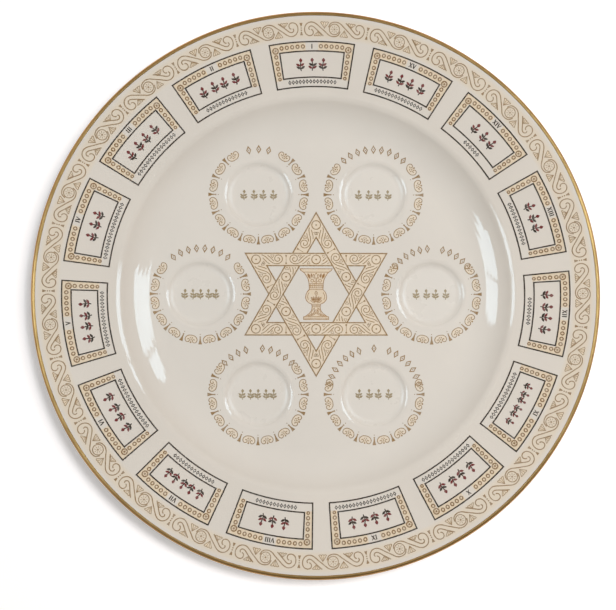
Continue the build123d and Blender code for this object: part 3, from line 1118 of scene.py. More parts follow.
@dataclass
class PlateBody(Assembly):
    """The fired and glazed dish: a closed mesh, turned from the section, with the wells sunk in its floor."""

    spans: int = 480
    well_spans: int = 144
    collar: float = 0.12
    mouth_clear: float = 0.01
    weld: float = 1e-6
    toe_below: float = 0.12
    vertices: List[Vertex] = field(default_factory=list)
    faces: List[Face] = field(default_factory=list)
    bare: List[int] = field(default_factory=list)
    worn: List[int] = field(default_factory=list)

    def build(self) -> List[Piece]:
        """Builds the dish and puts it on the frame.

        Returns:
            The new object.
        """
        section = self.section
        rings = [self._ring(CENTRE, section.floor_radius, section.floor_z, self.spans)]
        for r, z in section.face_path()[1:] + section.under_path():
            rings.append(self._ring(CENTRE, r, z, self.spans))
            first = len(self.faces)
            self._join(rings[-2], rings[-1])
            if max(z, self.vertices[rings[-2][0]][2]) < self.toe_below:
                self.bare += range(first, len(self.faces))
        self._cap(CENTRE, section.foot_height, rings[-1], False)
        mouths = [self._well(index) for index in range(section.well_count)]
        self._floor(rings[0], mouths)
        finishes, replaced = self.palette.body, ["plate_body"]
        body = add_piece("glazed_body", self.vertices, self.faces, finishes, replaced)
        for place, indices in ((1, self.bare), (2, self.worn)):
            for index in indices:
                body.data.polygons[index].material_index = place
        return [body]

    def _ring(self, centre: Point, radius: float, z: float, spans: int) -> List[int]:
        """Adds a ring of vertices and gives their indices."""
        self.vertices += [(x, y, z) for x, y in circle(centre, radius, spans)]
        return list(range(len(self.vertices) - spans, len(self.vertices)))

    def _join(self, before: List[int], after: List[int]) -> None:
        """Joins two rings with faces, which wind so that the first ring lies inside on top."""
        for (a, b), (c, d) in zip(neighbours(before), neighbours(after)):
            self.faces.append((a, c, d, b))

    def _cap(self, centre: Point, z: float, ring: List[int], upward: bool) -> None:
        """Closes a ring with a fan.

        Args:
            centre: The fan's centre.
            z: Its height.
            ring: The ring that it closes.
            upward: Whether it faces up.
        """
        hub = len(self.vertices)
        self.vertices.append((*centre, z))
        for here, there in neighbours(ring):
            self.faces.append((here, there, hub) if upward else (here, hub, there))

    def _well(self, index: int) -> List[int]:
        """Adds a well, whose heel and floor are worn.

        Args:
            index: The well's place, clockwise from the one right of the top.

        Returns:
            The ring of its mouth.
        """
        centre = self.section.well_centre(index)
        path = self.section.well_path()
        flat_radius, flat_z = path[-1]
        path += [(flat_radius - self.collar, flat_z), (flat_radius / 2, flat_z)]
        rings = [self._ring(centre, r, z, self.well_spans) for r, z in path]
        first = len(self.faces) + (len(rings) // 2 - 1) * self.well_spans
        for outer, inner in zip(rings, rings[1:]):
            self._join(inner, outer)
        self._cap(centre, flat_z, rings[-1], True)
        self.worn += range(first, len(self.faces))
        return rings[0]

    def _floor(self, outer: List[int], mouths: List[List[int]]) -> None:
        """Fills the flat floor between the cove and the wells' mouths.

        Args:
            outer: The ring where the cove starts.
            mouths: The rings of the wells' mouths.
        """
        section, z = self.section, self.section.floor_z
        centres = [section.well_centre(index) for index in range(section.well_count)]
        rings = [outer, *mouths, self._ring(CENTRE, section.floor_radius - self.collar, z, self.spans)]
        for centre in centres:
            rings.append(self._ring(centre, section.well_mouth + self.collar, z, self.well_spans))
        known = [index for ring in rings for index in ring]
        places = {index: k for k, index in enumerate(known)}
        edges = [(places[a], places[b]) for ring in rings for a, b in neighbours(ring)]
        plan = [Vector(self.vertices[index][:2]) for index in known]
        points, _, regions, sources, _, _ = delaunay_2d_cdt(plan, edges, [], 0, self.weld)
        clear = section.well_mouth + self.mouth_clear
        for corners in regions:
            middle = sum((points[k] for k in corners), Vector(CENTRE)) / len(corners)
            if min((middle - Vector(centre)).length for centre in centres) > clear:
                self.faces.append(tuple(known[sources[k][0]] for k in corners))


@dataclass
class GiltEdge(Assembly):
    """The gold line over the plate's edge, laid by brush, so that its inner side wanders a little.

    Each wave of the wander has its share, how often it comes round, and its phase.
    """

    width: float = 2.6
    wrap: float = 35.0
    proud: float = 0.05
    sunk: float = 0.03
    wander: float = 0.035
    waves: Tuple[Tuple[float, int, float], ...] = ((1.0, 7, 0.6), (0.7, 17, 2.1), (0.5, 41, 0.0))
    spans: int = 720

    def build(self) -> List[Piece]:
        """Builds the gold line and puts it on the frame.

        Returns:
            The new object.
        """
        vertices: List[Vertex] = []
        for turn in (2 * math.pi * k / self.spans for k in range(self.spans)):
            vertices += [(r * math.cos(turn), r * math.sin(turn), z) for r, z in self._outline(turn)]
        faces = tube(0, self.spans, len(vertices) // self.spans, True)
        gilding = [self.palette.gilding]
        return [add_piece("gilt_edge", vertices, faces, gilding, ["gilt_rim_line"])]

    def _outline(self, turn: float) -> Path:
        """The line's closed section.

        Args:
            turn: The angle round the plate.

        Returns:
            The section's points.
        """
        section = self.section
        stray = sum(share * math.sin(count * turn + phase) for share, count, phase in self.waves)
        along = (section.rim_start - section.rim_end).normalized()
        length = self.width - (section.radius - section.rim_end.x) + self.wander * stray
        normal = section.upward(section.rim_slope)
        start = section.rim_end + along * length
        first = 90 + section.rim_slope
        sides = []
        for lift in (self.proud, -self.sunk):
            edge = arc(section.edge_centre, section.edge_radius + lift, first, -(first + self.wrap), steps=16)
            sides.append([tuple(start + normal * lift)] + edge)
        return sides[0] + sides[1][::-1]


@dataclass(frozen=True)
class Rosette:
    """A ring round an eye, with short strokes for petals."""

    radius: float
    line: float
    eye: float
    petals: int = 0
    petal: Point = (0.0, 0.0)
    petal_line: float = 0.0

    def draw(self, sheet: Print, at: Placement, keep: Optional[Keep] = None) -> None:
        """Draws the rosette.

        Args:
            sheet: The print that it goes on.
            at: Where its eye lies.
            keep: Says which plan points are kept.
        """
        sheet.ring(CENTRE, self.radius, self.line, at, keep)
        sheet.dot(CENTRE, self.eye, at, keep)
        for k in range(self.petals):
            sheet.line([on_clock(reach, k * 360 / self.petals) for reach in self.petal], self.petal_line, at)


@dataclass(frozen=True)
class BorderScroll:
    """One repeat of the border's scroll: a rosette, a curled stem to each side, fans and parting darts.

    The drawing has the rosette at its origin, and half a turn about it gives the same drawing.
    """

    half: float
    line: float
    eye_inset: float = 5.6
    fan_line: float = 0.62
    rib_line: float = 0.45
    ring_line: float = 0.85
    ribs: Tuple[int, int] = (5, 9)

    @property
    def eye(self) -> float:
        """Where the left curl's middle lies."""
        return self.eye_inset - self.half

    def stems(self) -> List[Path]:
        """The lines left of the rosette: the stem with its curl, and the line inside it.

        Returns:
            Their points.
        """
        curl = [(0.15, -0.35), (0.95, -0.75), (1.45, -1.9), (0.9, -3.35), (-0.9, -3.85), (-2.8, -2.9)]
        curl += [(-3.65, -0.9), (-3.35, 1.35), (-1.9, 3.2), (0.5, 3.85), (2.9, 3.0)]
        head = [(self.eye + x, y) for x, y in curl]
        tail = [(-2.9, -3.55), (-0.3, -4.15), (2.3, -3.3), (3.5, -1.0)]
        reach, drop = tail[0][0] - head[-1][0], tail[0][1] - head[-1][1]
        between = [(head[-1][0] + reach * t, head[-1][1] + drop * t) for t in (0.35, 0.68)]
        inner = [(self.eye + x, y) for x, y in ((-0.75, -0.55), (-1.15, 0.55), (-0.2, 1.55), (1.5, 1.2))]
        start, last = inner[-1], (inner[-1][0] + 0.75 * reach, -4.05)
        middle = (start[0] + 0.45 * (last[0] - start[0]), start[1] + 0.45 * (last[1] - start[1]))
        return [smooth(head + between + tail, 5), smooth(inner + [middle, last], 5)]

    def fans(self) -> List[Path]:
        """The fans left of the rosette: one above the stem and one below it."""
        return [fan((-5.9, 0.3), 3.7, 2.3), fan((self.eye + 4.2, -1.5), -3.7, 2.2)]

    def darts(self) -> List[Path]:
        """The darts that part one repeat from the next, drawn about the line between them.

        Returns:
            Their outlines.
        """
        flare = [(-0.85, 3.5), (0.85, 3.5), (0.28, 1.5), (-0.28, 1.5)]
        dot = circle((0.0, 0.62), 0.42, steps=10)
        return [flare, half_turned(flare), dot, half_turned(dot)]

    def draw(self, lines: Print, fills: Print, at: Placement) -> None:
        """Draws the repeat without its darts.

        Args:
            lines: The print that the lines go on.
            fills: The print that the fans' fill goes on.
            at: Where the rosette lies.
        """
        for turn in (list, half_turned):
            for stem in self.stems():
                lines.line(turn(stem), self.line, at)
            for outline in map(turn, self.fans()):
                fills.shape(outline, at)
                lines.line(outline, self.fan_line * self.line, at, True)
                for rib in self.ribs:
                    lines.line([outline[0], outline[rib]], self.rib_line * self.line, at)
        ring = self.ring_line * self.line
        Rosette(3.0, ring, eye=0.55, petals=8, petal=(1.0, 2.2), petal_line=0.24).draw(lines, at)


@dataclass
class ScrollBorder(Assembly):
    """The running scroll round the outer rim."""

    count: int = 25
    edge_margin: float = 5.4
    height: float = 9.4
    first_dart: float = 11.0
    line: float = 0.6

    def build(self) -> List[Piece]:
        """Builds the border and puts it on the frame.

        Returns:
            The new objects.
        """
        radius = self.section.radius - self.edge_margin - self.height / 2
        step = 360 / self.count
        motif = BorderScroll(math.radians(step) * radius / 2, self.line)
        lines = Print("scroll_border_print", self.section)
        fills = Print("scroll_border_fans", self.section, proud=0.015)
        for k in range(self.count):
            motif.draw(lines, fills, OnArc(radius, self.first_dart + (k + 0.5) * step))
            for outline in motif.darts():
                lines.shape(outline, OnArc(radius, self.first_dart + k * step))
        border = lines.make(self.palette, Ink.RIM_GOLD, "scroll_border")
        return [border, fills.make(self.palette, Ink.FAN_GOLD)]


@dataclass(frozen=True)
class Sprig:
    """A small upright sprig: a bowed stem with pairs of leaves and a bud at its head."""

    height: float
    bow: float
    stem: float

    def stems(self) -> Path:
        """The stem's line, from its foot to under the bud."""
        h = self.height
        return smooth([(0.0, -0.5 * h), (self.bow, -0.15 * h), (0.0, 0.22 * h)], 5)

    def leaves(self) -> List[Path]:
        """The leaves' outlines, pair by pair from the lowest.

        Returns:
            Their points.
        """
        h, b = self.height, self.bow
        pairs = [((0.5 * b, -0.34 * h), 0.36 * h, -0.12 * h), ((0.9 * b, -0.12 * h), 0.34 * h, 0.10 * h)]
        outlines = []
        for foot, reach, rise in pairs:
            outlines += [leaf(foot, (foot[0] + side * reach, rise), 0.19 * h) for side in (-1, 1)]
        return outlines

    def bud(self) -> Path:
        """The bud's outline."""
        h = self.height
        return leaf((0.0, 0.16 * h), (0.0, 0.52 * h), 0.26 * h)

    def draw(self, at: Placement, stem: Print, low: Print, high: Print, bud: Print) -> None:
        """Draws the sprig.

        Args:
            at: Where its middle lies.
            stem: The print that the stem goes on.
            low: The print that the lower pair of leaves goes on.
            high: The print that the upper pair goes on.
            bud: The print that the bud goes on.
        """
        stem.line(self.stems(), self.stem, at)
        for sheet, outline in zip((low, low, high, high), self.leaves()):
            sheet.shape(outline, at)
        bud.shape(self.bud(), at)


class Numeral(Enum):
    """The marks of Roman numbers: each one's width, and its strokes in half widths and half heights."""

    I = (1.15, (((0, -1), (0, 1)),))
    V = (2.2, (((-1, 1), (0, -1)), ((1, 1), (0, -1))))
    X = (2.2, (((-1, 1), (1, -1)), ((1, 1), (-1, -1))))


def roman(number: int) -> List[Numeral]:
    """The marks of a number up to 39.

    Args:
        number: The number.

    Returns:
        Its marks in order.
    """
    tens, rest = divmod(number, 10)
    ones = ("", "I", "II", "III", "IV", "V", "VI", "VII", "VIII", "IX")[rest]
    return [Numeral[mark] for mark in "X" * tens + ones]


@dataclass
class PanelRow(Assembly):
    """What fills the fifteen framed panels: a numeral, beads, a row of sprigs and a fine row at the foot.

    Panels are counted anticlockwise from the top. Rows are radii, pitches run along them, and turns are
    degrees from a panel's middle.
    """

    count: int = 15
    first: float = -1.15
    band_row: Point = (144.96, 4.6)
    band_turn: float = 9.62
    side_band: Point = (8.86, 4.3)
    side_span: Point = (126.6, 142.7)
    bead_row: float = 145.0
    bead_count: int = 5
    bead_first: float = 5.3
    bead_pitch: float = 3.15
    bead_size: Point = (2.45, 2.6)
    bead_line: float = 0.68
    side_beads: Tuple[Point, ...] = ((140.4, 1.0), (136.8, 1.0), (133.7, 1.0), (130.5, 1.0), (127.6, 0.8))
    side_turn: float = 8.62
    corner_radius: float = 1.61
    corner_row: float = 143.9
    corner_turn: float = 8.55
    numeral_row: float = 145.0
    numeral_half: Point = (0.82, 1.375)
    numeral_lines: Point = (0.62, 0.42)
    sprig_row: float = 134.7
    sprig_height: float = 7.2
    sprig_pitch: float = 6.6
    sprig_room: float = 27.0
    sprig_slender: float = 1.25
    sprig_bow: float = 0.5
    sprig_stem: float = 0.62
    sprig_counts: Tuple[int, ...] = (3, 4, 4, 3, 4, 4, 5, 3, 4, 4, 6, 4, 3, 3, 4)
    fine_row: float = 124.95
    fine_pitch: float = 2.05
    fine_half: Point = (0.68, 1.0)
    fine_line: float = 0.44
    fine_counts: Tuple[int, ...] = (14, 13, 16, 17, 16, 16, 14, 12, 18, 17, 15, 8, 13, 6, 15)

    def build(self) -> List[Piece]:
        """Builds the prints and dresses the frames.

        Returns:
            The frames and the new objects.
        """
        wash = Print("panel_band_wash", self.section, proud=0.012)
        beads = Print("panel_beads", self.section)
        dark = Print("panel_numerals_and_sprigs", self.section)
        red = Print("panel_buds", self.section)
        fine = Print("panel_fine_rows", self.section)
        made = []
        for index in range(self.count):
            self._wash(wash, index)
            self._beads(beads, index)
            self._numeral(dark, index)
            self._sprigs(dark, red, index)
            for along in spread(self.fine_counts[index], self.fine_pitch):
                at = self._at(index, self.fine_row, along)
                fine.line(lozenge(*self.fine_half), self.fine_line, at, True)
            made.append(self.dress(f"panel_frame_{index + 1:02d}", Ink.DARK))
        inks = (Ink.BEAD_WASH, Ink.BEAD_GOLD, Ink.DARK, Ink.RED, Ink.FINE)
        sheets = (wash, beads, dark, red, fine)
        return made + [sheet.make(self.palette, ink) for sheet, ink in zip(sheets, inks)]

    def _at(self, index: int, row: float, along: float = 0.0, turn: float = 0.0) -> OnArc:
        """A place on a panel: its row, how far it lies clockwise along the row, and a further turn."""
        return OnArc(row, self.first - index * 360 / self.count + math.degrees(along / row) + turn)

    def _wash(self, sheet: Print, index: int) -> None:
        """Lays the pale wash under a panel's beads, and leaves the numeral's ground bare.

        Args:
            sheet: The print that it goes on.
            index: The panel's place in the row.
        """
        row, width = self.band_row
        start = self.bead_first - self.bead_pitch / 2
        reach, spans = math.radians(self.band_turn) * row - start, 9
        for side in (-1, 1):
            top = [(side * (start + reach * k / spans), 0.0) for k in range(spans + 1)]
            sheet.line(top, width, self._at(index, row))
        turn, width = self.side_band
        (low, high), spans = self.side_span, 4
        for side in (-1, 1):
            down = [(0.0, (high - low) * k / spans) for k in range(spans + 1)]
            sheet.line(down, width, self._at(index, low, turn=side * turn))

    def _beads(self, sheet: Print, index: int) -> None:
        """Draws a panel's beads, along its top and down its sides.

        Args:
            sheet: The print that they go on.
            index: The panel's place in the row.
        """
        half_long, half_tall = [(size - self.bead_line) / 2 for size in self.bead_size]
        bead = [(half_long * x, half_tall * y) for x, y in circle(CENTRE, 1.0, steps=16)]
        corner = Rosette(self.corner_radius, self.bead_line, 0.6, petals=6, petal=(0.8, 1.45), petal_line=0.3)
        for side in (-1, 1):
            for k in range(self.bead_count):
                at = self._at(index, self.bead_row, side * (self.bead_first + k * self.bead_pitch))
                sheet.line(bead, self.bead_line, at, True)
            for row, size in self.side_beads:
                small = [(x * size, y * size) for x, y in bead]
                sheet.line(small, self.bead_line, self._at(index, row, turn=side * self.side_turn), True)
            corner.draw(sheet, self._at(index, self.corner_row, turn=side * self.corner_turn))

    def _numeral(self, sheet: Print, index: int) -> None:
        """Draws a panel's number in Roman numerals.

        Args:
            sheet: The print that it goes on.
            index: The panel's place in the row.
        """
        marks = roman(index + 1)
        wide, tall = self.numeral_half
        left = -sum(mark.value[0] for mark in marks) / 2
        for width, strokes in (mark.value for mark in marks):
            middle = left + width / 2
            for stroke, line in zip(strokes, self.numeral_lines):
                points = [(middle + wide * x, tall * y) for x, y in stroke]
                sheet.line(points, line, self._at(index, self.numeral_row))
            left += width

    def _sprigs(self, dark: Print, red: Print, index: int) -> None:
        """Draws the sprigs in a panel's field.

        Args:
            dark: The print that the stems and half of the leaves go on.
            red: The print that the buds and the other leaves go on.
            index: The panel's place in the row.
        """
        count = self.sprig_counts[index]
        pitch = min(self.sprig_pitch, self.sprig_room / count)
        height = min(self.sprig_height, self.sprig_slender * pitch)
        for k, along in enumerate(spread(count, pitch)):
            at = self._at(index, self.sprig_row, along)
            sprig = Sprig(height, self.sprig_bow if k % 2 else -self.sprig_bow, self.sprig_stem)
            low, high = (red, dark) if k % 2 else (dark, red)
            sprig.draw(at, dark, low, high, red)


@dataclass
class WellWreath(Assembly):
    """The wreath round a well, the row of lozenges in its gap, and the sprigs on the well's floor.

    In the rows 1 is a lozenge and 0 a space. Each field with six values has one for each well.
    """

    index: int
    clearance: float = 2.9
    width: float = 5.6
    units: int = 16
    line: float = 0.45
    wash_half: Point = (3.4, 2.3)
    wash_strip: float = 0.6
    wash_strips: int = 3
    wash_overlap: float = 1.03
    gaps: Tuple[int, ...] = (4, 4, 6, 4, 4, 2)
    rows: Tuple[str, ...] = ("1" * 9, "111111011111", "11111110101111111", "1111011111", "1" * 8, "111")
    row_pitch: Tuple[float, ...] = (10.2, 9.6, 9.6, 10.4, 10.4, 12.6)
    row_lift: float = 0.1
    row_half: Point = (1.2, 2.05)
    row_line: float = 0.58
    row_eye: float = 0.34
    sprigs: Tuple[int, ...] = (4, 4, 4, 5, 5, 4)
    sprig_room: float = 23.0
    sprig_height: float = 6.2
    sprig_bow: float = 0.45
    sprig_stem: float = 0.5

    @property
    def spine(self) -> float:
        """The radius of the wreath's middle."""
        return self.section.well_mouth + self.clearance + self.width / 2

    @property
    def centre(self) -> Point:
        """The well's plan centre."""
        return self.section.well_centre(self.index)

    def build(self) -> List[Piece]:
        """Builds the wreath, its wash and the sprigs, and puts them on the frame.

        Returns:
            The new objects.
        """
        number = self.index + 1
        wreath = Print(f"wreath_{number}", self.section)
        wash = Print(f"wreath_wash_{number}", self.section, proud=0.012)
        inside = Print(f"well_sprigs_{number}", self.section)
        gap, step = self.gaps[self.index], 360 / self.units
        for unit in range(self.units - gap):
            at = OnArc(self.spine, (unit + gap / 2 + 0.5) * step, self.centre)
            self._tint(wash, at)
            self._palmette(wreath, at)
        for joint in range(1, self.units - gap):
            self._dart(wreath, OnArc(self.spine, (joint + gap / 2) * step, self.centre))
        self._lozenges(wreath)
        self._sprigs(inside)
        made = [wreath.make(self.palette, Ink.GOLD, f"well_wreath_{number}")]
        made += [wash.make(self.palette, Ink.LEAF_WASH), inside.make(self.palette, Ink.WELL_GOLD)]
        return made

    def _tint(self, sheet: Print, at: Placement) -> None:
        """Lays the pale wash under one unit of the wreath, in strips narrow enough to follow the face.

        Args:
            sheet: The print that gets the wash.
            at: Where the unit lies.
        """
        (half_wide, half_tall), strip, spans = self.wash_half, self.wash_strip, 4
        for k in range(-self.wash_strips, self.wash_strips + 1):
            reach = half_wide * math.sqrt(1 - (k * strip / half_tall) ** 2)
            points = [(reach * s / spans, k * strip) for s in range(-spans, spans + 1)]
            sheet.line(points, self.wash_overlap * strip, at)

    def _palmette(self, sheet: Print, at: Placement) -> None:
        """Draws one unit of the wreath: two scrolls that spring from one foot, with a bud between.

        Args:
            sheet: The print that it goes on.
            at: Where the unit lies.
        """
        scroll = [(0.0, -2.2), (-2.0, -1.8), (-3.3, -0.5), (-3.4, 1.0), (-2.5, 2.1), (-1.3, 1.9), (-0.9, 0.9)]
        scroll = smooth(scroll + [(-1.6, 0.2), (-2.2, 0.7)], 5)
        sheet.line(mirrored(scroll)[::-1] + scroll[1:], self.line, at)
        bud, foot = (0.0, 2.1), (0.0, 0.2)
        sheet.dot(bud, 0.48, at)
        sheet.dot(foot, 0.36, at)
        sheet.line([foot, bud], 0.26, at)
        for side in (-1, 1):
            sheet.shape(leaf((side * 0.2, -1.2), (side * 1.1, -0.1), 0.5), at)

    def _dart(self, sheet: Print, at: Placement) -> None:
        """Draws the dart between two units: a trumpet with its mouth outward, and a bead at its foot.

        Args:
            sheet: The print that it goes on.
            at: Where the dart lies.
        """
        trumpet = [(-0.22, -2.0), (0.22, -2.0), (0.42, 0.4), (1.0, 2.8), (-1.0, 2.8), (-0.42, 0.4)]
        sheet.shape(trumpet, at)
        sheet.line([(-0.6, -1.6), (0.6, -1.6)], 0.28, at)
        sheet.dot((0.0, -3.1), 0.3, at)

    def _lozenges(self, sheet: Print) -> None:
        """Draws the row of upright lozenges in the wreath's gap.

        Args:
            sheet: The print that they go on.
        """
        row = self.rows[self.index]
        for mark, clock in zip(row, spread(len(row), self.row_pitch[self.index])):
            if mark == "1":
                at = OnArc(self.spine + self.row_lift, clock, self.centre)
                sheet.line(lozenge(*self.row_half), self.row_line, at, True)
                sheet.dot(CENTRE, self.row_eye, at)

    def _sprigs(self, sheet: Print) -> None:
        """Draws the sprigs on the well's floor.

        Args:
            sheet: The print that they go on.
        """
        count, (x, y) = self.sprigs[self.index], self.centre
        for k in range(count):
            at = OnBoard((x + (k - (count - 1) / 2) * self.sprig_room / count, y))
            bow = self.sprig_bow if k % 2 else -self.sprig_bow
            Sprig(self.sprig_height, bow, self.sprig_stem).draw(at, sheet, sheet, sheet, sheet)


class StarScroll:
    """The scroll in the star's bands: from a rosette a stem runs down into a curl, beside a dart.

    The drawing has the rosette at its origin, the curl to its right and the star's outside upward.
    """

    def lines(self) -> List[Path]:
        """The stem with its curl, and the shorter lines beside it.

        Returns:
            Their points.
        """
        stem = [(3.2, 2.8), (4.8, 2.15), (6.4, 0.95), (8.2, -0.75), (10.1, -2.05)]
        curl = [(12.2, -2.6), (14.3, -2.0), (15.6, -0.3), (15.2, 1.7), (13.5, 2.7), (11.7, 2.1), (11.1, 0.5)]
        curl += [(11.9, -0.9), (13.2, -1.05), (14.1, -0.1), (13.6, 0.95), (12.7, 0.9)]
        upper = [(6.8, 2.45), (8.4, 1.3), (9.8, -0.2), (10.7, -1.0)]
        lower = [(3.9, 1.0), (5.3, -0.4), (6.9, -1.9), (8.1, -2.6)]
        return [smooth(points, 4) for points in (stem + curl, upper, lower)]

    def fans(self) -> List[Path]:
        """The small fans over and under the stem."""
        return [fan((9.7, 0.9), 2.55, 1.0, lobes=2), fan((4.5, -0.9), -2.5, 0.9, lobes=2)]

    def dart(self) -> List[Path]:
        """The dart that parts two curls, drawn about its own middle.

        Returns:
            Its outlines.
        """
        flare = [(-0.62, 2.75), (0.62, 2.75), (0.26, 1.55), (-0.26, 1.55)]
        shaft = [(-0.14, 1.5), (0.14, 1.5), (0.14, -1.5), (-0.14, -1.5)]
        return [flare, half_turned(flare), shaft]


class Triangle(Enum):
    """The star's two triangles, by the clock angle of the first corner."""

    UP = 0.0
    DOWN = 60.0


@dataclass
class Star(Assembly):
    """The star's two woven triangles, whose lines stay from the frame: each band gets a wash and scrolls."""

    radius: float = 49.3
    band: float = 8.05
    edge: float = 0.7
    line: float = 0.46
    fan_line: float = 0.6
    ring: float = 2.6
    ring_line: float = 1.2
    eye: float = 0.5
    margin: float = 0.25

    @property
    def away(self) -> float:
        """How far the middle of a band lies from the star's centre."""
        return (self.radius - self.band) / 2

    @property
    def half_unit(self) -> float:
        """How far a dart lies from the rosettes at both sides of it."""
        return self.away * math.sqrt(3) / 2

    def build(self) -> List[Piece]:
        """Builds the washes and the scroll in both triangles, and dresses the star's lines.

        Returns:
            The star's lines and the new objects.
        """
        wash = Print("star_band_wash", self.section, proud=0.010)
        lines = Print("star_scrolls", self.section, proud=0.045)
        for triangle in Triangle:
            keep = self._over(triangle)
            for side in range(3):
                self._side(wash, lines, triangle.value + 180 + 120 * side, keep)
        made = [self.dress(node, Ink.GOLD) for node in ("star_triangle_up", "star_triangle_down")]
        return made + [wash.make(self.palette, Ink.BAND_WASH), lines.make(self.palette, Ink.GOLD)]

    def _over(self, triangle: Triangle) -> Keep:
        """Says where a triangle's band shows: everywhere but the crossings that it passes under.

        Args:
            triangle: Which of the two triangles.

        Returns:
            The test of a plan point.
        """
        low, high = self.radius / 2 - self.band - self.margin, self.radius / 2 + self.margin
        first = 90 if triangle is Triangle.UP else 30
        unders = [first + 120 * k for k in range(3)]

        def keep(point: Point) -> bool:
            """Whether a plan point is clear of the bands that pass over.

            Args:
                point: The plan point.

            Returns:
                Whether it is.
            """
            for clock in unders:
                turns = [math.radians(clock + turn) for turn in (-30, 30)]
                reaches = [point[0] * math.sin(turn) + point[1] * math.cos(turn) for turn in turns]
                if all(low < reach < high for reach in reaches):
                    return False
            return True

        return keep

    def _side(self, wash: Print, lines: Print, clock: float, keep: Keep) -> None:
        """Draws one side of a triangle.

        Args:
            wash: The print that the band's wash goes on.
            lines: The print that the lines go on.
            clock: The clock angle that the side faces.
            keep: Says which plan points are kept.
        """
        motif, rosette = StarScroll(), Rosette(self.ring, self.ring_line * self.line, self.eye)
        board = OnBoard(clock=clock)
        outer, inner = self.radius / 2 - self.edge, self.radius / 2 - self.band + self.edge
        corners = [(side * math.sqrt(3) * reach, reach) for reach in (outer, inner) for side in (-1, 1)]
        wash.shape([corners[0], corners[1], corners[3], corners[2]], board)
        middles = {unit: board.place((unit * self.half_unit, self.away)) for unit in range(-2, 3)}
        places = {unit: OnBoard(middle, clock) for unit, middle in middles.items()}
        for turn, unit in ((list, -2), (mirrored, 0), (flipped, 0), (mirrored, 2)):
            for path in motif.lines():
                lines.line(turn(path), self.line, places[unit], keep=keep)
            for path in motif.fans():
                lines.line(turn(path), self.fan_line * self.line, places[unit], True, keep)
        for unit in (0, 2):
            rosette.draw(lines, places[unit], keep)
        for unit in (-1, 1):
            for outline in motif.dart():
                lines.shape(outline, places[unit], keep)


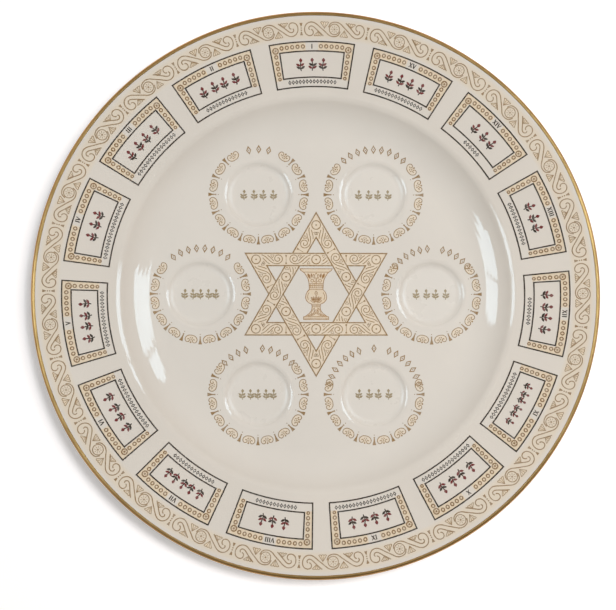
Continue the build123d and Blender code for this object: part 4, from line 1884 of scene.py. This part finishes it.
@dataclass
class Goblet(Assembly):
    """The goblet in the star: a pale wash inside a drawn outline, with its bands of ornament."""

    top: float = 15.1
    lip: float = 9.6
    line: float = 0.42
    at: Placement = OnBoard()
    bands: Tuple[Point, ...] = (
        (13.1, 7.4), (6.3, 4.1), (5.1, 4.0), (3.7, 4.0), (2.7, 3.9),
        (-6.1, 2.4), (-6.8, 2.3), (-7.5, 2.3), (-13.3, 6.3), (-14.3, 7.2),
    )
    band_line: float = 0.32

    def silhouette(self) -> Path:
        """The right half of the goblet's outline, from the lip down to the foot.

        Returns:
            Its points.
        """
        lip, top = self.lip, self.top
        bowl = [(lip - 0.5, top - 1.0), (7.1, 12.7), (5.7, 10.7), (4.6, 8.3), (4.2, 5.6), (4.1, 2.6)]
        knop = [(4.1, 2.6), (5.5, 1.0), (6.2, -1.2), (6.0, -3.2), (4.6, -5.0), (2.6, -6.0)]
        foot = [(2.6, -6.0), (2.4, -8.0), (2.9, -9.8), (4.2, -11.6), (6.5, -13.3)]
        side = smooth(bowl, 5) + smooth(knop, 5)[1:] + smooth(foot, 5)[1:]
        return [(lip, top)] + side + [(7.4, -13.5), (7.4, -top)]

    def build(self) -> List[Piece]:
        """Builds the wash and the drawing.

        Returns:
            The new objects.
        """
        right = self.silhouette()
        wash = Print("goblet_wash", self.section, proud=0.02)
        wash.shape(mirrored(right) + right[::-1], self.at)
        drawing = Print("goblet_drawing", self.section, proud=0.045)
        drawing.line(right + mirrored(right)[::-1], self.line, self.at, True)
        for y, half in self.bands:
            drawing.line([(-half, y), (half, y)], self.band_line, self.at)
        self._bowl(drawing)
        self._knop(drawing)
        self._foot(drawing)
        made = [wash.make(self.palette, Ink.CUP_WASH, "goblet_emblem")]
        return made + [drawing.make(self.palette, Ink.CUP_GOLD)]

    def _bowl(self, sheet: Print) -> None:
        """Draws the bowl's leaves and buds, and the strokes and beads on its waist.

        Args:
            sheet: The print that they go on.
        """
        at, pitch = self.at, 1.15
        sheet.line(leaf((0.0, 12.6), (0.0, 9.0), 1.9), 0.3, at, True)
        sheet.line([(0.0, 9.0), (0.0, 6.4)], 0.5, at)
        for side in (-1, 1):
            sheet.shape(leaf((side * 5.0, 12.5), (side * 3.5, 9.0), 1.5), at)
            sheet.shape(leaf((side * 3.0, 12.5), (side * 2.4, 9.6), 1.1), at)
            sheet.line(leaf((side * 1.6, 11.9), (side * 1.0, 9.2), 0.9), 0.28, at, True)
            sheet.ring((side * 2.3, 8.0), 0.85, 0.34, at)
            sheet.dot((side * 0.9, 7.5), 0.3, at)
        for x in (pitch * k for k in range(-3, 4)):
            sheet.line([(x, 5.1), (x, 3.7)], 0.3, at)
            sheet.dot((x, 5.7), 0.26, at)

    def _knop(self, sheet: Print) -> None:
        """Draws the knop's bud, the fan of lobes under it and the shade of its sides.

        Args:
            sheet: The print that they go on.
        """
        at = self.at
        sheet.line(leaf((0.0, 1.9), (0.0, -0.9), 1.5), 0.36, at, True)
        sheet.dot((0.0, 0.6), 0.36, at)
        for x in (-3.0, -1.6, 0.0, 1.6, 3.0):
            tip = -1.2 - 0.22 * abs(x)
            sheet.line(leaf((0.35 * x, -4.6), (x, tip), 1.2), 0.32, at, True)
            sheet.shape(leaf((0.5 * x, -3.9), (0.9 * x, tip - 0.5), 0.55), at)
        for side in (-1, 1):
            sheet.line(smooth([(side * 4.2, 1.0), (side * 5.1, -1.2), (side * 4.6, -3.4)], 4), 0.34, at)
            sheet.line(smooth([(side * 0.6, -5.2), (side * 2.2, -4.8), (side * 3.4, -3.7)], 4), 0.34, at)

    def _foot(self, sheet: Print) -> None:
        """Draws the foot's boss and the leaves beside it.

        Args:
            sheet: The print that they go on.
        """
        boss = (0.0, -10.3)
        sheet.ring(boss, 0.95, 0.4, self.at)
        sheet.dot(boss, 0.3, self.at)
        for side in (-1, 1):
            sheet.line(leaf((side * 1.0, -8.2), (side * 2.9, -12.7), 1.3), 0.32, self.at, True)
            sheet.line(leaf((side * 0.4, -11.6), (side * 4.9, -12.9), 0.9), 0.3, self.at, True)


# The studio


DAYLIGHT: Colour = (0.74, 0.97, 1.12)
LAMPLIGHT: Colour = (1.12, 0.985, 0.91)
SKYLIGHT: Colour = (0.95, 1.0, 1.06)


class Falls(Enum):
    """What a light falls on, by how it is linked to the table."""

    ALL = ""
    PLATE = "EXCLUDE"
    TABLE = "INCLUDE"


@dataclass(frozen=True)
class Softbox:
    """A soft studio light, aimed at the plate, with its size and distance in metres."""

    name: str
    azimuth: float
    off_vertical: float
    size: Point
    radiance: float
    colour: Colour
    in_glaze: bool = True
    falls_on: Falls = Falls.ALL
    distance: float = 1.2

    def build(self, table: Piece) -> None:
        """Hangs the light.

        Args:
            table: The table top, which a light may leave out or light alone.
        """
        lamp = bpy.data.lights.new(self.name, "AREA")
        lamp.shape = "RECTANGLE"
        lamp.color = self.colour
        lamp.size, lamp.size_y = self.size
        lamp.energy = self.radiance * math.pi * self.size[0] * self.size[1]
        light = bpy.data.objects.new(self.name, lamp)
        lean, turn = math.radians(self.off_vertical), math.radians(self.azimuth)
        way = Vector((math.sin(lean) * math.cos(turn), math.sin(lean) * math.sin(turn), math.cos(lean)))
        light.location = way * self.distance
        light.rotation_mode = "QUATERNION"
        light.rotation_quaternion = way.to_track_quat("Z", "Y")
        light.visible_glossy = self.in_glaze
        bpy.context.scene.collection.objects.link(light)
        if self.falls_on is not Falls.ALL:
            group = bpy.data.collections.new(f"{self.name}_group")
            group.objects.link(table)
            group.collection_objects[0].light_linking.link_state = self.falls_on.value
            light.light_linking.receiver_collection = group


@dataclass(frozen=True)
class Window:
    """A pane of a window that shows in the glaze, hung as slices that each sweep a part of the room.

    The sweeps are the azimuths that the slices span, from the highest slice down.
    """

    name: str
    off_verticals: Point
    sweeps: Tuple[Point, ...]
    radiance: float = 5.9

    def softboxes(self) -> List[Softbox]:
        """Cuts the pane into slices.

        Returns:
            The slices, from the highest down.
        """
        step = (self.off_verticals[1] - self.off_verticals[0]) / len(self.sweeps)
        tall = 2 * Softbox.distance * math.tan(math.radians(step / 2))
        boxes = []
        for k, (first, last) in enumerate(self.sweeps):
            lean = self.off_verticals[0] + (k + 0.5) * step
            away = Softbox.distance * math.sin(math.radians(lean))
            size = (2 * away * math.tan(math.radians(last - first) / 2), tall)
            name, middle = f"{self.name}_{k + 1}", (first + last) / 2
            boxes.append(Softbox(name, middle, lean, size, self.radiance, DAYLIGHT, falls_on=Falls.PLATE))
        return boxes


@dataclass
class Studio:
    """The white table, the soft lights and the camera over the plate.

    The camera's places are in millimetres. The table's reach, the radii at which its glow rises to white, and
    the camera's clipping are in metres.
    """

    room_level: float = 0.19
    room_lean: float = 0.11
    table_colour: Colour = (0.8, 0.8, 0.8)
    table_reach: float = 60.0
    table_glow: float = 0.36
    glow_rises: Point = (0.3, 1.5)
    camera_at: Vertex = (-20.9, -46.5, 722.7)
    camera_aim: Vertex = (-5.18, -7.32, 24.0)
    lens: float = 70.41
    sensor: float = 36.0
    clip: Point = (0.01, 200.0)
    lamps: Tuple[Softbox, ...] = (
        Softbox("overhead_key", 10.0, 17.0, (0.3, 0.3), 20.6, LAMPLIGHT, in_glaze=False),
        Softbox("shadow_lamp", 36.0, 12.0, (0.2, 0.2), 46.0, SKYLIGHT, in_glaze=False, falls_on=Falls.TABLE),
    )
    windows: Tuple[Window, ...] = (
        Window("window_right_wide", (17.5, 47.5), ((3.6, 24.2), (1.6, 24.2), (-0.4, 24.2), (-2.4, 24.2))),
        Window("window_right_narrow", (22.0, 43.5), ((26.2, 33.0), (26.0, 34.6), (25.8, 34.4), (25.8, 32.4))),
        Window(
            "window_left_narrow",
            (21.5, 44.5),
            ((164.0, 178.2), (163.0, 178.2), (163.0, 178.2), (164.0, 178.2)),
        ),
        Window(
            "window_left_wide",
            (21.5, 45.5),
            ((179.2, 193.0), (179.2, 198.6), (179.2, 202.0), (179.2, 196.6)),
        ),
    )

    def build(self) -> None:
        """Builds the studio."""
        scene = bpy.context.scene
        scene.view_settings.view_transform = "Standard"
        self._world(scene)
        table = self._table(scene)
        panes = [box for window in self.windows for box in window.softboxes()]
        for light in (*self.lamps, *panes):
            light.build(table)
        self._camera(scene)

    def _world(self, scene: bpy.types.Scene) -> None:
        """Lights the room softly, a little more from behind the plate than from before it.

        Args:
            scene: The scene that gets the world.
        """
        world = bpy.data.worlds.new("studio_room")
        scene.world = world
        world.use_nodes = True
        sheet = NodeSheet(world.node_tree)
        way = sheet.add("ShaderNodeTexCoord").outputs["Generated"]
        across = sheet.add("ShaderNodeSeparateXYZ", Vector=way).outputs["Y"]
        low, high = self.room_level - self.room_lean, self.room_level + self.room_lean
        ground = world.node_tree.nodes["Background"]
        sheet.feed(ground.inputs["Color"], LAMPLIGHT)
        sheet.feed(ground.inputs["Strength"], sheet.remap(across, -1.0, 1.0, low, high))

    def _table(self, scene: bpy.types.Scene) -> Piece:
        """Lays the white table top, which looks white to the camera and keeps the plate's shadow.

        Args:
            scene: The scene that the table top goes in.

        Returns:
            The table top.
        """
        mesh = bpy.data.meshes.new("table_top")
        reach = self.table_reach
        corners = [(-reach, -reach, 0), (reach, -reach, 0), (reach, reach, 0), (-reach, reach, 0)]
        mesh.from_pydata(corners, [], [(0, 1, 2, 3)])
        material, sheet = new_material("table_white", self.table_colour)
        ray = sheet.add("ShaderNodeLightPath").outputs
        matte = sheet.add("ShaderNodeBsdfDiffuse", Color=self.table_colour)
        seen = sheet.maths("MAXIMUM", ray["Is Camera Ray"], ray["Is Glossy Ray"])
        seen = sheet.maths("MAXIMUM", seen, ray["Is Transmission Ray"])
        level = sheet.remap(sheet.radius(), *self.glow_rises, self.table_glow, 1.0)
        level = sheet.maths("MULTIPLY", seen, level)
        glow = sheet.add("ShaderNodeEmission", Color=(1.0, 1.0, 1.0), Strength=level)
        both = sheet.add("ShaderNodeAddShader", _0=matte.outputs[0], _1=glow.outputs[0])
        sheet.add("ShaderNodeOutputMaterial", Surface=both.outputs[0])
        mesh.materials.append(material)
        floor = bpy.data.objects.new("table_top", mesh)
        scene.collection.objects.link(floor)
        return floor

    def _camera(self, scene: bpy.types.Scene) -> None:
        """Sets the camera over the plate, with the plate's first panel at the top of the picture.

        Args:
            scene: The scene that the camera goes in.
        """
        data = bpy.data.cameras.new("camera")
        data.lens = self.lens
        data.sensor_width = self.sensor
        data.clip_start, data.clip_end = self.clip
        camera = bpy.data.objects.new("camera", data)
        at, aim = Vector(self.camera_at) * MM, Vector(self.camera_aim) * MM
        back = (at - aim).normalized()
        right = Vector((0.0, 1.0, 0.0)).cross(back).normalized()
        camera.location = at
        camera.rotation_mode = "QUATERNION"
        camera.rotation_quaternion = Matrix((right, back.cross(right), back)).transposed().to_quaternion()
        scene.collection.objects.link(camera)
        scene.camera = camera


def main() -> None:
    """Builds the plate piece by piece and reports each, then builds the studio."""
    logging.basicConfig(level=logging.INFO, format="%(message)s")
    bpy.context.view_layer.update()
    section, palette = PlateSection(), Palette()
    kinds = (PlateBody, GiltEdge, ScrollBorder, PanelRow)
    assemblies: List[Assembly] = [kind(section, palette) for kind in kinds]
    assemblies += [WellWreath(section, palette, index) for index in range(section.well_count)]
    assemblies += [Star(section, palette), Goblet(section, palette)]
    for assembly in assemblies:
        for piece in assembly.build():
            LOG.info("%s: %d faces", piece.name, len(piece.data.polygons))
    Studio().build()


if __name__ == "__main__":
    main()
